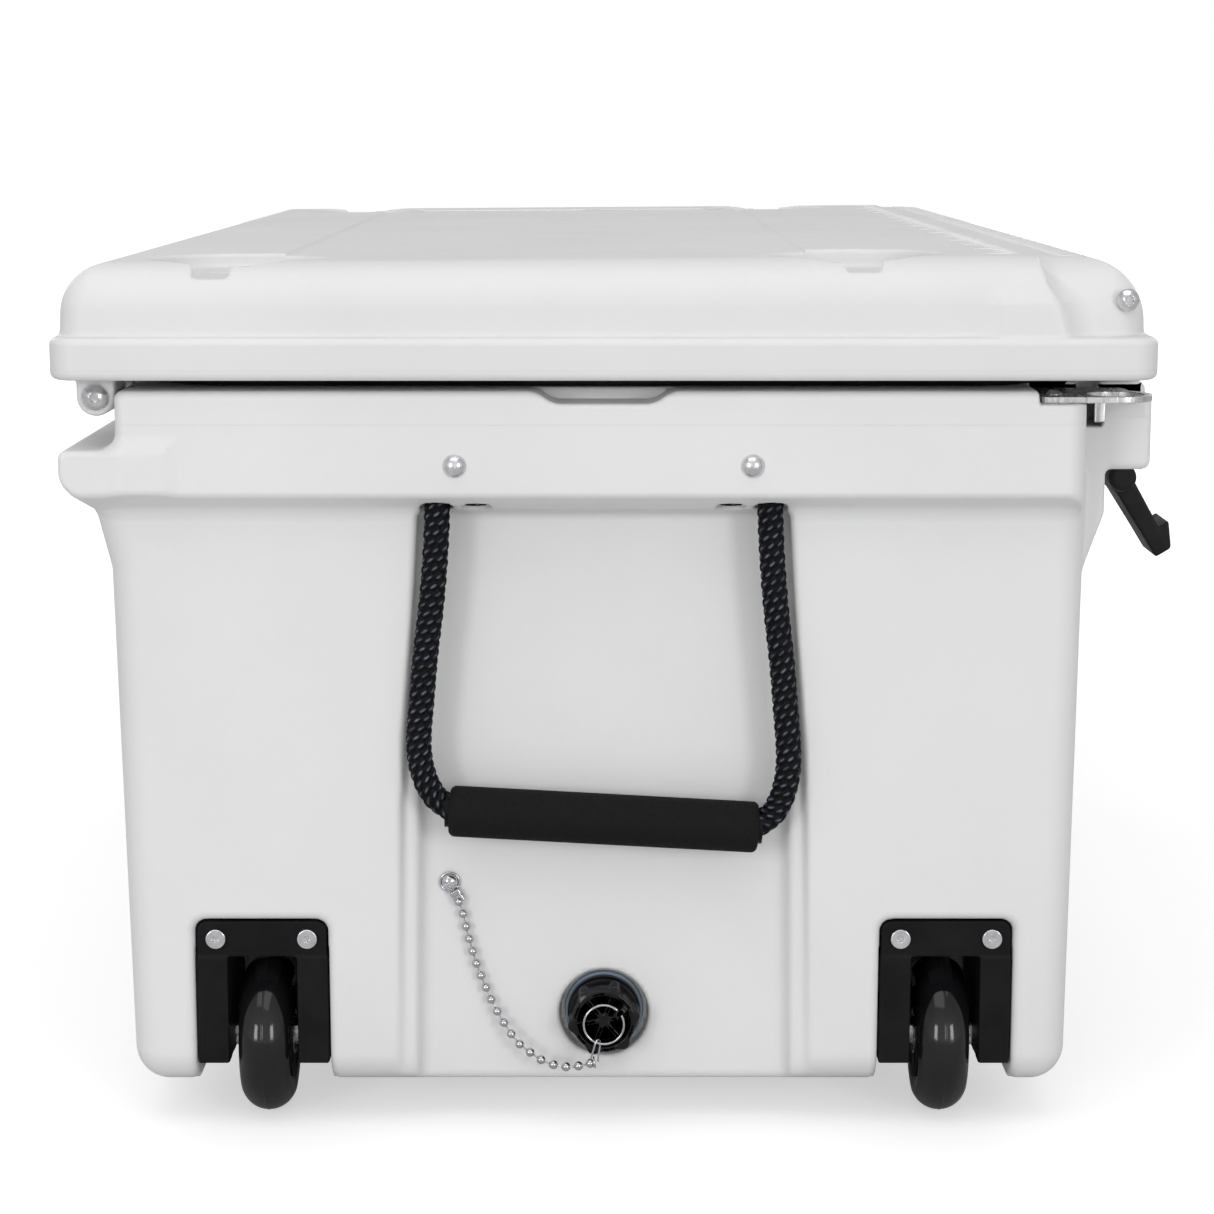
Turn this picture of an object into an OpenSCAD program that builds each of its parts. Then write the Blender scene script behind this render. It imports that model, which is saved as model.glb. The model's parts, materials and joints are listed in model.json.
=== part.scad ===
// Rotomoulded cooler on wheels: a hollow foam-filled tub with a hinged lid, two rubber
// T-latches, a rope handle on each end, two skate wheels under one end, two rubber feet under
// the other, and a screw-in drain plug on a bead chain.
// Lengths run along X, with the wheels at -X. The latches face -Y. The floor is z = 0.

/* [Overall] */
// Length over the lid flange
lid_length = 850; // [840:1:860]
// Width over the lid flange
lid_width = 504; // [500:1:508]
// Height from the floor to the top of the lid
lid_top = 417; // [415:1:421]
// Height of the underside of the tub above the floor
ground_gap = 20; // [18:1:22]

/* [Tub] */
// Height of the tub's rim
rim_top = 356; // [355:0.5:357]
// Lower edge of the lips on the two ends
lip_bottom = 309; // [307:1:311]
// Height of the floor of the ice compartment
tub_floor = 62; // [60:1:66]
// Thickness of the moulded skin
skin = 5; // [4:0.5:6]

/* [Lid] */
// Underside of the lid flange
lid_bottom = 361; // [360.5:0.5:362]
// Height of the hinge rod above the floor
hinge_z = 352.5; // [352:0.5:353]
// Distance of the hinge rod from the centre plane
hinge_y = 232.5; // [232:0.5:233]
// Diameter of each cup holder
cup_d = 88; // [80:1:92]
// Depth of each cup holder
cup_depth = 10; // [6:1:12]

/* [Wheels] */
// Diameter of each wheel
wheel_d = 76; // [74:1:76]
// Width of each wheel
wheel_w = 24; // [22:1:26]
// Distance of each wheel from the centre plane
wheel_y = 163; // [160:1:166]

/* [Handles] */
// Diameter of the rope
rope_d = 12; // [10:1:12]
// Diameter of the foam grip
grip_d = 24; // [22:1:24]
// Length of the foam grip
grip_l = 141; // [135:1:143]

/* [Latches] */
// Distance of each latch from the middle of the cooler
latch_x = 270; // [250:5:290]
// Width of the rubber arm
latch_arm_w = 30; // [26:1:32]

/* [Drain] */
// Height of the drain's axis
drain_z = 54; // [53:1:56]

/* [Hidden] */
$fn = 48;

eps = 0.01;
hull_fn = 32;

// The latch tabs stand out further than the back of the lid, so everything is drawn about the
// centre plane and then moved by this much, which centres the whole on the origin.
latch_reach = 282;
y_shift = (latch_reach - lid_width / 2) / 2;

half_l = lid_length / 2;
half_w = lid_width / 2;

// Tub
lip_x = half_l - 6;
wall_top_x = half_l - 21.5;
wall_bottom_x = half_l - 27;
wall_top_y = 225.5;
wall_bottom_y = 221.5;
underside_r = 24;
wall_r = 32;
lip_front_y = 221;
rim_back_y = 223;
rail_y = 250;
rail_half_l = half_l - 42;
pocket_x = half_l - 37;
ledge_y = 249;
mouth_x = 350;
mouth_y = 176;

// Hinge
knuckle_r = 9;
knuckle_gap = 0.8;
hinge_rod_r = 4;
running_gap = 0.05;
lid_knuckle_l = 34;
lid_knuckle_x = [-391, -195, 0, 195, 391];
body_knuckle_l = 60;
body_knuckle_x = [-293, -98, 98, 293];
hinge_rod_l = 816;

// Lid
lid_flange_top = 380.5;
dome_x = half_l - 6;
dome_y = half_w - 5.5;
lid_side_top = 397;
inner_panel_z = 349;
latch_rod_y = -238;
latch_rod_z = 397;
latch_rod_r = 3;
latch_rod_l = 822;
scoop_x = half_l - 14;
cup_x = 361;
cup_front_y = -115;
cup_back_y = 172;
gasket_z = rim_top + 0.35;

// Wheels and their brackets
axle_x = -(half_l - 58);
axle_z = wheel_d / 2;
axle_r = 4;
bracket_w = 62;
bracket_top = 104.5;
bracket_bottom = 33.7;
bracket_front_x = -(half_l - 29);
flange_t = 10;
cheek_t = 14.5;
slot_top = 87;
bracket_screw_z = 96.5;
bracket_screw_gap = 43.5;
bearing_r = 11;
bearing_w = 7;

// Rope handles
rope_r = rope_d / 2;
rope_x = half_l - 21;
bolt_y = 68;
bolt_z = 322;
wrap_r = 9;
leg_y = bolt_y + wrap_r;
pivot_z = 297;
grip_z = 153.5;
grip_slope = 0.055;
grip_angle = atan(grip_slope);
core_r = 7.6;
core_extra = 4;

// Latches
bar_y = -258;
bar_z = 302;
bar_r = 7;
bar_l = 62;
arm_t = 8;
eye_r = 8;
latch_slot_w = latch_arm_w + 4;

// Lock plates
plate_z = 350;
plate_t = 3;
lock_hole_r = 13;
lock_x = half_l - 27;
lock_y = -236;
plate_back_x = -(half_l - 62.5);
plate_screw_x = half_l - 26;
plate_screw_y = -207;

// Drain
drain_recess_r = 21.2;
drain_recess_x = -(pocket_x - 8);
pipe_r = 15;
pipe_bore_r = 12;
nut_r = 19;
plug_r = 11.95;
knob_r = 17.4;
ring_r = 9.5;
ring_x = -407;
ring_wire = 0.6;
ear_angle = 50;
chain_y = 73.5;
chain_z = 119;

// Route of one rope leg from the swing point down and round into the grip: [y, height].
leg_route = [
    [leg_y, 297], [78, 278], [80, 255], [83, 230], [85, 208], [86.5, 190], [86, 178],
    [83.5, 168], [79, 160], [72, 155], [64, 153.7], [52, 153.5]
];

// Route of the bead chain from its eyelet to the ring on the plug: [x, y, z].
chain_route = [
    [-391.5, 70, 112], [-391, 67.5, 105], [-391, 64.5, 92], [-391, 60.5, 78],
    [-391, 55.5, 65], [-392, 52.5, 58.5], [-393.5, 49, 52.5], [-395, 45, 46.5],
    [-396, 40.5, 41], [-397.5, 35, 37], [-399, 29, 33.5], [-400, 22.5, 31.5],
    [-402, 16, 31.5], [-404, 10, 33], [-406, 4.5, 35]
];
chain_r = 2.2;

// ---------------------------------------------------------------- general shapes

// Everything is drawn about the centre plane of the tub.
module placed() {
    translate([0, y_shift, 0]) children();
}

// A row along +X of an outline given as [y, z] points.
module along_x(x0, x1, outline) {
    translate([x0, 0, 0]) rotate([90, 0, 90]) linear_extrude(x1 - x0) polygon(outline);
}

// A row along +Y of an outline given as [x, z] points.
module along_y(y0, y1, outline) {
    translate([0, y1, 0]) rotate([90, 0, 0]) linear_extrude(y1 - y0) polygon(outline);
}

// A plate with rounded upright corners, from z0 to z1.
module slab(hx, hy, r, z0, z1) {
    translate([-hx, -hy + r, z0]) cube([2 * hx, 2 * (hy - r), z1 - z0]);
    translate([-hx + r, -hy, z0]) cube([2 * (hx - r), 2 * hy, z1 - z0]);
    for (sx = [-1, 1], sy = [-1, 1])
        translate([sx * (hx - r), sy * (hy - r), z0]) cylinder(r = r, h = z1 - z0);
}

// The four upright corners of a thin slice, for use inside a hull.
module slice(hx, hy, r, z) {
    for (sx = [-1, 1], sy = [-1, 1])
        translate([sx * (hx - r), sy * (hy - r), z - eps])
            cylinder(r = r, h = eps, $fn = hull_fn);
}

// A cylinder along +X from x0 to x1.
module rod_x(x0, x1, r) {
    translate([x0, 0, 0]) rotate([0, 90, 0]) cylinder(r = r, h = x1 - x0);
}

// A cylinder along +Y from y0 to y1.
module rod_y(y0, y1, r) {
    translate([0, y1, 0]) rotate([90, 0, 0]) cylinder(r = r, h = y1 - y0);
}

module tube_x(x0, x1, r_out, r_in) {
    difference() {
        rod_x(x0, x1, r_out);
        rod_x(x0 - 1, x1 + 1, r_in);
    }
}

module tube_y(y0, y1, r_out, r_in) {
    difference() {
        rod_y(y0, y1, r_out);
        rod_y(y0 - 1, y1 + 1, r_in);
    }
}

// A domed button head whose flat side is at the origin and whose dome points along +Z.
module button_head(r, h) {
    intersection() {
        translate([0, 0, h - (r * r + h * h) / (2 * h)]) sphere(r = (r * r + h * h) / (2 * h));
        cylinder(r = r, h = h);
    }
}

module box(x0, x1, y0, y1, z0, z1) {
    translate([x0, y0, z0]) cube([x1 - x0, y1 - y0, z1 - z0]);
}

// Both wheels: -1 is the latch side, 1 is the hinge side.
module at_wheels() {
    for (s = [-1, 1]) translate([axle_x, s * wheel_y, axle_z]) children();
}

// Both ends, the far one a mirror image of the near one.
module both_ends() {
    children();
    mirror([1, 0, 0]) children();
}

// ---------------------------------------------------------------- swept cords

function unit(v) = v / norm(v);

// Direction of a route at point i.
function heading(path, i) =
    unit(path[min(i + 1, len(path) - 1)] - path[max(i - 1, 0)]);

// Points of one ring round a route that stays near one plane with this normal.
function ring_points(path, i, r, sides, up) =
    let (t = heading(path, i), u = unit(cross(up, t)), w = cross(t, u))
    [for (k = [0 : sides - 1])
        path[i] + r * (cos(360 * k / sides) * u + sin(360 * k / sides) * w)];

// A closed tube round a route.
module sweep(path, r, sides, up) {
    n = len(path);
    points = [for (i = [0 : n - 1]) each ring_points(path, i, r, sides, up)];
    walls = [for (i = [0 : n - 2], k = [0 : sides - 1])
        [i * sides + k, i * sides + (k + 1) % sides,
            (i + 1) * sides + (k + 1) % sides, (i + 1) * sides + k]];
    first = [[for (k = [0 : sides - 1]) sides - 1 - k]];
    last = [[for (k = [0 : sides - 1]) (n - 1) * sides + k]];
    polyhedron(points = points, faces = concat(walls, first, last), convexity = 6);
}

// ---------------------------------------------------------------- tub

// The hollow that the ice goes in, with a sump down to the drain.
module compartment() {
    hull() {
        slice(338, 164, 34, tub_floor + eps);
        slice(mouth_x, mouth_y, 34, rim_top + 2);
    }
    box(-345, -290, -45, 45, drain_z - nut_r - 3, tub_floor + 1);
    // Round seat of the drain's inner nut
    translate([0, 0, drain_z]) rod_x(-345, -330, nut_r + 2);
}

// Recess in the end wall that the handle hangs in, down to the underside.
module handle_pocket(depth_x) {
    along_x(-half_l - 5, -depth_x, [
        [-86, 299], [86, 299], [90, 230], [95, 160], [97, ground_gap - 2],
        [-97, ground_gap - 2], [-95, 160], [-90, 230]
    ]);
}

// Stepped pocket that one wheel bracket sits in.
module wheel_pocket(s) {
    pocket_w = bracket_w + 2.5;
    y0 = s * wheel_y - pocket_w / 2;
    y1 = s * wheel_y + pocket_w / 2;
    box(-half_l, bracket_front_x + flange_t, y0, y1, ground_gap - 2, bracket_top + 2);
    box(-half_l, axle_x + 42, y0, y1, ground_gap - 2, slot_top + 1);
}

// Space in one end lip for a rope end wrapped round its bolt.
module anchor_pocket(s) {
    translate([-rope_x, s * bolt_y, 0]) {
        box(-7.5, 7.5, -17, 17, pivot_z - 5, bolt_z);
        translate([0, 0, bolt_z]) rod_x(-7.5, 7.5, 17);
    }
}

// Cut for one lock plate and for the slot behind its bent tab.
module lock_recess() {
    box(-half_l, plate_back_x + 0.5, -260, -198, plate_z, rim_top + 1);
    box(-lip_x - 1, -rail_half_l, -lip_front_y - 1, -213, 337, plate_z + 1);
}

module tub_outside() {
    hull() {
        slice(half_l - 39, 210, underside_r, ground_gap + eps);
        slice(wall_bottom_x, wall_bottom_y, wall_r, ground_gap + 12);
        slice(wall_top_x, wall_top_y, wall_r, lip_bottom + 4);
    }
    box(-wall_top_x, wall_top_x, -lip_front_y, rim_back_y, lip_bottom, rim_top);
    both_ends() along_y(-lip_front_y, rim_back_y, [
        [-lip_x, rim_top], [-lip_x, lip_bottom], [-wall_top_x, lip_bottom - 10],
        [-wall_top_x + 20, lip_bottom - 10], [-wall_top_x + 20, rim_top]
    ]);
    // Keeper rail along the front
    along_x(-rail_half_l, rail_half_l, [
        [-210, rim_top], [-rail_y, rim_top], [-rail_y, 321], [-245, 316], [-235, 314],
        [-235, 295], [-226, 270], [-210, 270]
    ]);
    // Ledge along the back, which stops the lid when it is open
    along_x(-lip_x, lip_x, [
        [210, 336], [rim_back_y, 336], [231, 328], [245, 328], [ledge_y, 325],
        [ledge_y, 318], [238, 309], [210, 309]
    ]);
    along_x(-wall_top_x, wall_top_x, [[210, 310], [238, 310], [226.5, 271], [210, 271]]);
    // Hinge knuckles of the tub
    for (x = body_knuckle_x) {
        translate([0, hinge_y, hinge_z])
            rod_x(x - body_knuckle_l / 2, x + body_knuckle_l / 2, knuckle_r);
        box(x - body_knuckle_l / 2, x + body_knuckle_l / 2, 215, hinge_y,
            hinge_z - knuckle_r, rim_top);
    }
}

// Space between the outer and the inner skin, with solid bosses where things are fastened.
module tub_hollow(inset) {
    difference() {
        slab(wall_top_x - 11.5 - inset, 216.5 - inset, 28, ground_gap + 10 + inset,
            rim_top - skin - 1 - inset);
        hull() {
            slice(338 + skin + inset, 164 + skin + inset, 38, tub_floor - skin - inset);
            slice(mouth_x + skin + inset, mouth_y + skin + inset, 38, rim_top);
        }
        box(-352 - inset, -284 + inset, -51 - inset, 51 + inset, ground_gap, 70);
        box(-half_l, -340 + inset, -31 - inset, 31 + inset, ground_gap, 92 + inset);
        box(-half_l, -pocket_x + 6 + inset, -103 - inset, 103 + inset, ground_gap, 342 + inset);
        box(pocket_x - 6 - inset, half_l, -103 - inset, 103 + inset, ground_gap, 342 + inset);
        for (s = [-1, 1])
            box(-half_l, axle_x + 48 + inset, s * wheel_y - 38 - inset,
                s * wheel_y + 38 + inset, ground_gap, bracket_top + 8 + inset);
        for (s = [-1, 1], dx = [-25, 25])
            translate([345 + dx, s * wheel_y, ground_gap]) cylinder(r = 9 + inset, h = 27);
        translate([0, chain_y, chain_z]) rod_x(-half_l, -366 + inset, 8 + inset);
    }
}

module body_shell() {
    color("gainsboro") placed() difference() {
        tub_outside();
        compartment();
        tub_hollow(0);
        both_ends() {
            handle_pocket(pocket_x);
            // Finger notch under the lid
            along_x(-half_l, -(half_l - 30), [
                [-31, rim_top + 1], [-23, rim_top - 5], [23, rim_top - 5], [31, rim_top + 1]
            ]);
            for (s = [-1, 1]) {
                anchor_pocket(s);
                translate([0, s * bolt_y, bolt_z]) rod_x(-half_l, -380, 3.1);
                translate([0, s * bolt_y, bolt_z]) rod_x(-393, -380, 6.1);
            }
            lock_recess();
            translate([-plate_screw_x, plate_screw_y, plate_z - 14]) cylinder(r = 2.1, h = 20);
        }
        for (s = [-1, 1]) {
            wheel_pocket(s);
            for (d = [-1, 1])
                translate([0, s * wheel_y + d * bracket_screw_gap / 2, bracket_screw_z])
                    rod_x(-390, -364, 2.6);
        }
        // Slots in the rail for the latch arms
        for (x = [-latch_x, latch_x])
            box(x - latch_slot_w / 2, x + latch_slot_w / 2, -260, -rail_y + 14, 300, 360);
        // Bore of the hinge rod, and room for the lid's knuckles
        translate([0, hinge_y, hinge_z]) rod_x(-half_l, half_l, hinge_rod_r + running_gap);
        // Drain
        translate([0, 0, drain_z]) {
            rod_x(-half_l, drain_recess_x, drain_recess_r);
            rod_x(-half_l, -330, pipe_r + 0.2);
        }
        // Fill port for the foam, foot screws and the chain's screw
        translate([200, 0, ground_gap - 1]) cylinder(r = 12.5, h = 14);
        for (s = [-1, 1], dx = [-25, 25])
            translate([345 + dx, s * wheel_y, ground_gap - 1]) cylinder(r = 2.6, h = 19);
        translate([0, chain_y, chain_z]) rod_x(-390, -376, 1.6);
    }
}

module body_foam() {
    color("khaki") placed() tub_hollow(0.2);
}

module body_fill_plug() {
    color("gainsboro") placed() translate([200, 0, ground_gap]) difference() {
        cylinder(r = 12.45, h = 9.5);
        translate([0, 0, -eps]) cylinder(r = 9, h = 6);
    }
}

module tub_feet() {
    color("dimgray") placed() for (s = [-1, 1]) translate([345, s * wheel_y, 0]) difference() {
        slab(40, 26, 10, 0, ground_gap);
        for (dx = [-25, 25]) translate([dx, 0, -eps]) {
            cylinder(r = 6, h = 8);
            cylinder(r = 2.75, h = ground_gap + 1);
        }
    }
}

module tub_foot_screws() {
    color("silver") placed() for (s = [-1, 1], dx = [-25, 25])
        translate([345 + dx, s * wheel_y, 0]) {
            translate([0, 0, 8]) mirror([0, 0, 1]) button_head(5.5, 3.4);
            translate([0, 0, 8]) cylinder(r = 2.5, h = 28);
        }
}

// ---------------------------------------------------------------- drain

module drain_fitting() {
    color("dimgray") placed() translate([0, 0, drain_z]) difference() {
        union() {
            rod_x(drain_recess_x - 6, drain_recess_x - 3, 17.5);
            rod_x(drain_recess_x - 6, -331, pipe_r);
        }
        rod_x(-half_l, -330, pipe_bore_r);
    }
}

module drain_seal() {
    color("lightslategray") placed() translate([0, 0, drain_z])
        tube_x(drain_recess_x - 3, drain_recess_x, 19, pipe_r + 0.1);
}

module drain_inner_nut() {
    color("dimgray") placed() translate([0, 0, drain_z]) difference() {
        rotate([0, 90, 0]) translate([0, 0, -345]) cylinder(r = nut_r, h = 7, $fn = 8);
        rod_x(-346, -337, pipe_r + 0.1);
    }
}

module plug_gasket() {
    color("black") placed() translate([0, 0, drain_z])
        tube_x(drain_recess_x - 8, drain_recess_x - 6.1, 16.6, plug_r + 0.1);
}

// Screw plug with a hollow lobed knob, cross ribs inside it and an ear for the ring.
module drain_plug() {
    knob_back = drain_recess_x - 8.1;
    knob_front = -403;
    color("black") placed() translate([0, 0, drain_z]) {
        difference() {
            union() {
                rod_x(knob_front, knob_back, 15.2);
                for (a = [0 : 60 : 300])
                    rotate([a + 20, 0, 0]) translate([0, 0, knob_r - 3.4])
                        rod_x(knob_front + 0.6, knob_back - 0.9, 3.4);
                rod_x(knob_back, -352, plug_r);
            }
            rod_x(-half_l, -391, 12.6);
            rod_x(-360, -350, 8);
        }
        rod_x(-400.2, -390.2, 3.2);
        for (a = [0 : 60 : 300])
            rotate([a + 20, 0, 0]) box(-400.5, -390.5, -1.2, 1.2, 2, 13.6);
        rotate([ear_angle, 0, 0]) difference() {
            box(-410, -390.8, -1.4, 1.4, ring_r - 3, ring_r + 4);
            translate([ring_x, 0, ring_r]) rod_y(-3, 3, 1.4);
        }
    }
}

module split_ring() {
    color("silver") placed() translate([ring_x, 0, drain_z]) rotate([0, 90, 0])
        rotate_extrude() translate([ring_r, 0]) circle(r = ring_wire, $fn = 24);
}

// Wire loop that joins the last bead to the ring.
module chain_end_link() {
    color("silver") placed() translate([ring_x, 0, drain_z - ring_r - 1.8]) {
        rotate([90, 0, 0]) rotate_extrude() translate([3.1, 0]) circle(r = 0.5, $fn = 24);
        translate([0, 0, -6]) difference() {
            sphere(r = 3.1);
            rod_y(-4, 4, 1);
        }
    }
}

module chain_screw() {
    color("silver") placed() translate([-pocket_x - 1.2, chain_y, chain_z]) {
        rotate([0, -90, 0]) button_head(4, 2.6);
        rod_x(0, 12.5, 1.5);
    }
}

// Flat eyelet under the screw, with the clasp that holds the first bead.
module chain_eyelet() {
    color("silver") placed() translate([-pocket_x, chain_y, chain_z]) {
        tube_x(-1.1, -0.1, 4.6, 1.6);
        rotate([-30, 0, 0]) difference() {
            box(-4.4, -0.1, -2.6, 2.6, -10.5, -4.4);
            box(-3.6, -1.2, -1.8, 1.8, -12, -5.5);
        }
    }
}

module bead_chain() {
    color("silver") placed() sweep(chain_route, chain_r, 8, [1, 0, 0]);
}

// ---------------------------------------------------------------- wheels

module wheel_brackets() {
    color("black") placed() at_wheels() {
        x0 = bracket_front_x - axle_x;
        difference() {
            union() {
                box(x0, x0 + flange_t, -bracket_w / 2, bracket_w / 2,
                    bracket_bottom - axle_z, bracket_top - axle_z);
                box(x0 + 1, 36, -bracket_w / 2, bracket_w / 2,
                    bracket_bottom - axle_z, slot_top - axle_z);
            }
            box(x0 - 1, 37, -bracket_w / 2 + cheek_t, bracket_w / 2 - cheek_t,
                -axle_z, slot_top - axle_z + eps);
            rod_y(-40, 40, axle_r + 0.1);
            for (s = [-1, 1])
                rod_y(s * 29 - 4, s * 29 + 4, 8);
            for (d = [-1, 1])
                translate([0, d * bracket_screw_gap / 2, bracket_screw_z - axle_z])
                    rod_x(x0 - 1, x0 + flange_t + 1, 2.7);
            // Open the slot through the flange for the wheel
            box(x0 - 1, x0 + flange_t + 1, -bracket_w / 2 + cheek_t, bracket_w / 2 - cheek_t,
                -axle_z, slot_top - axle_z);
        }
    }
}

module bracket_screws() {
    color("silver") placed() for (s = [-1, 1], d = [-1, 1])
        translate([bracket_front_x, s * wheel_y + d * bracket_screw_gap / 2, bracket_screw_z]) {
            rotate([0, -90, 0]) button_head(4.75, 2.2);
            rod_x(0, 30, 2.5);
        }
}

module axle_bolts() {
    color("silver") placed() at_wheels() {
        rod_y(-27, 30.5, axle_r);
        rotate([90, 0, 0]) translate([0, 0, 25.05]) cylinder(r = 7.4, h = 5.3, $fn = 6);
    }
}

module axle_nuts() {
    color("silver") placed() at_wheels() difference() {
        rotate([-90, 0, 0]) translate([0, 0, 25.05]) cylinder(r = 7.4, h = 5.3, $fn = 6);
        rod_y(20, 40, axle_r + 0.05);
    }
}

module axle_spacers() {
    gap_outer = bracket_w / 2 - cheek_t - 0.1;
    color("silver") placed() at_wheels() for (s = [-1, 1])
        rotate([-90 * s, 0, 0]) translate([0, 0, wheel_w / 2 + 0.2]) difference() {
            cylinder(r = 6.5, h = gap_outer - wheel_w / 2 - 0.2);
            translate([0, 0, -1]) cylinder(r = axle_r + 0.05, h = 10);
        }
}

// Urethane tyre with a round tread, on the -1 or +1 side.
module tyre(s) {
    crown = 13;
    color("black") placed() translate([axle_x, s * wheel_y, axle_z]) rotate([90, 0, 0])
        rotate_extrude() difference() {
            union() {
                intersection() {
                    translate([wheel_d / 2 - crown, 0]) circle(r = crown);
                    translate([0, -wheel_w / 2]) square([wheel_d / 2, wheel_w]);
                }
                translate([22, -wheel_w / 2 + 0.5]) square([4, wheel_w - 1]);
            }
            translate([0, -wheel_w]) square([22, 2 * wheel_w]);
        }
}

// Nylon core with five windows.
module hub(s) {
    color("darkslategray") placed() translate([axle_x, s * wheel_y, axle_z])
        rotate([90, 0, 0]) difference() {
            translate([0, 0, -wheel_w / 2]) cylinder(r = 21.9, h = wheel_w);
            translate([0, 0, -wheel_w]) cylinder(r = 9.5, h = 2 * wheel_w);
            for (z = [-wheel_w / 2 - 1, wheel_w / 2 - bearing_w])
                translate([0, 0, z]) cylinder(r = bearing_r + 0.02, h = bearing_w + 1);
            for (a = [0 : 72 : 288]) rotate([0, 0, a]) translate([16.3, 0, -wheel_w])
                cylinder(r = 3.2, h = 2 * wheel_w);
        }
}

module bearings(s) {
    color("silver") placed() translate([axle_x, s * wheel_y, axle_z]) rotate([90, 0, 0])
        for (z = [-wheel_w / 2, wheel_w / 2 - bearing_w]) translate([0, 0, z]) difference() {
            cylinder(r = bearing_r, h = bearing_w);
            translate([0, 0, -1]) cylinder(r = axle_r + running_gap, h = bearing_w + 2);
        }
}

module sleeve(s) {
    half = wheel_w / 2 - bearing_w;
    color("silver") placed() translate([axle_x, s * wheel_y, axle_z])
        tube_y(-half, half, 6, axle_r + 0.2);
}

module front_wheel_tyre() { tyre(-1); }
module front_wheel_hub() { hub(-1); }
module front_wheel_bearings() { bearings(-1); }
module front_wheel_sleeve() { sleeve(-1); }
module back_wheel_tyre() { tyre(1); }
module back_wheel_hub() { hub(1); }
module back_wheel_bearings() { bearings(1); }
module back_wheel_sleeve() { sleeve(1); }

// ---------------------------------------------------------------- rope handles

// Fixed ends of the ropes: up from the swing point, over the bolt and down to a short tail.
module rope_anchors() {
    color("black") placed() both_ends() for (s = [-1, 1])
        translate([-rope_x, s * bolt_y, bolt_z]) {
            rotate([90, 0, 90]) rotate_extrude(angle = 180) translate([wrap_r + 0.2, 0])
                circle(r = rope_r);
            for (e = [[s * (wrap_r + 0.2), pivot_z + 7], [-s * (wrap_r + 0.2), lip_bottom - 2]])
                translate([0, e[0], e[1] - bolt_z]) cylinder(r = rope_r, h = bolt_z - e[1]);
        }
}

module rope_bolts() {
    color("silver") placed() both_ends() for (s = [-1, 1])
        translate([-lip_x, s * bolt_y, bolt_z]) {
            rotate([0, -90, 0]) button_head(5.5, 3.4);
            rod_x(0, 36, 3);
        }
}

module rope_bolt_nuts() {
    color("silver") placed() both_ends() for (s = [-1, 1])
        translate([0, s * bolt_y, bolt_z]) tube_x(-392.5, -384, 6, 3.05);
}

// How much the slant of the grip lifts one side of the rope and lowers the other.
function tilt(p) = grip_slope * p[0] * (pivot_z - p[1]) / (pivot_z - grip_z);

// Whole route of a moving rope, from one swing point to the other.
function rope_route() = concat(
    [for (p = leg_route) [-rope_x, p[0], p[1] + tilt(p)]],
    [for (i = [len(leg_route) - 1 : -1 : 0])
        let (p = leg_route[i])
        [-rope_x, -p[0], p[1] - tilt(p)]]
);

module near_rope() {
    color("black") placed() sweep(rope_route(), rope_r, 12, [1, 0, 0]);
}

module on_grip() {
    translate([-rope_x, 0, grip_z]) rotate([grip_angle, 0, 0]) children();
}

module near_grip() {
    color("black") placed() on_grip()
        tube_y(-grip_l / 2, grip_l / 2, grip_d / 2, core_r + 0.1);
}

module near_grip_core() {
    half = grip_l / 2 + core_extra;
    color("dimgray") placed() on_grip() tube_y(-half, half, core_r, rope_r + 0.2);
}

module far_rope() { mirror([1, 0, 0]) near_rope(); }
module far_grip() { mirror([1, 0, 0]) near_grip(); }
module far_grip_core() { mirror([1, 0, 0]) near_grip_core(); }

// ---------------------------------------------------------------- rim hardware

// Stainless plate with a padlock hole at the front corner of each end, and a bent tab.
module lock_plates() {
    color("lightgray") placed() both_ends() difference() {
        union() {
            translate([-lock_x + 3, lock_y, plate_z]) cylinder(r = 17, h = plate_t);
            box(-lock_x - 14, plate_back_x, lock_y, -200, plate_z, plate_z + plate_t);
            box(-lock_x + 3, plate_back_x, lock_y - 9, -200, plate_z, plate_z + plate_t);
            box(-rail_half_l - 3, -rail_half_l - 1, -232, -222.5, 341, plate_z + 1);
        }
        translate([-lock_x + 1, lock_y, plate_z - 1]) cylinder(r = lock_hole_r, h = 6);
        translate([-plate_screw_x, plate_screw_y, plate_z - 1]) cylinder(r = 2.3, h = 6);
    }
}

module lock_plate_screws() {
    color("silver") placed() both_ends()
        translate([-plate_screw_x, plate_screw_y, plate_z + plate_t]) {
            button_head(4.5, 2.2);
            translate([0, 0, -16]) cylinder(r = 2, h = 16);
        }
}

module hinge_rod() {
    color("silver") placed() translate([0, hinge_y, hinge_z]) {
        rod_x(-hinge_rod_l / 2 - 1, hinge_rod_l / 2, hinge_rod_r);
        translate([-hinge_rod_l / 2 - 1, 0, 0]) rotate([0, -90, 0]) button_head(6, 3.6);
    }
}

module hinge_rod_cap() {
    color("silver") placed() translate([hinge_rod_l / 2, hinge_y, hinge_z]) rotate([0, 90, 0])
        translate([0, 0, 0.5]) button_head(6, 3.6);
}

// ---------------------------------------------------------------- lid

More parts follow.
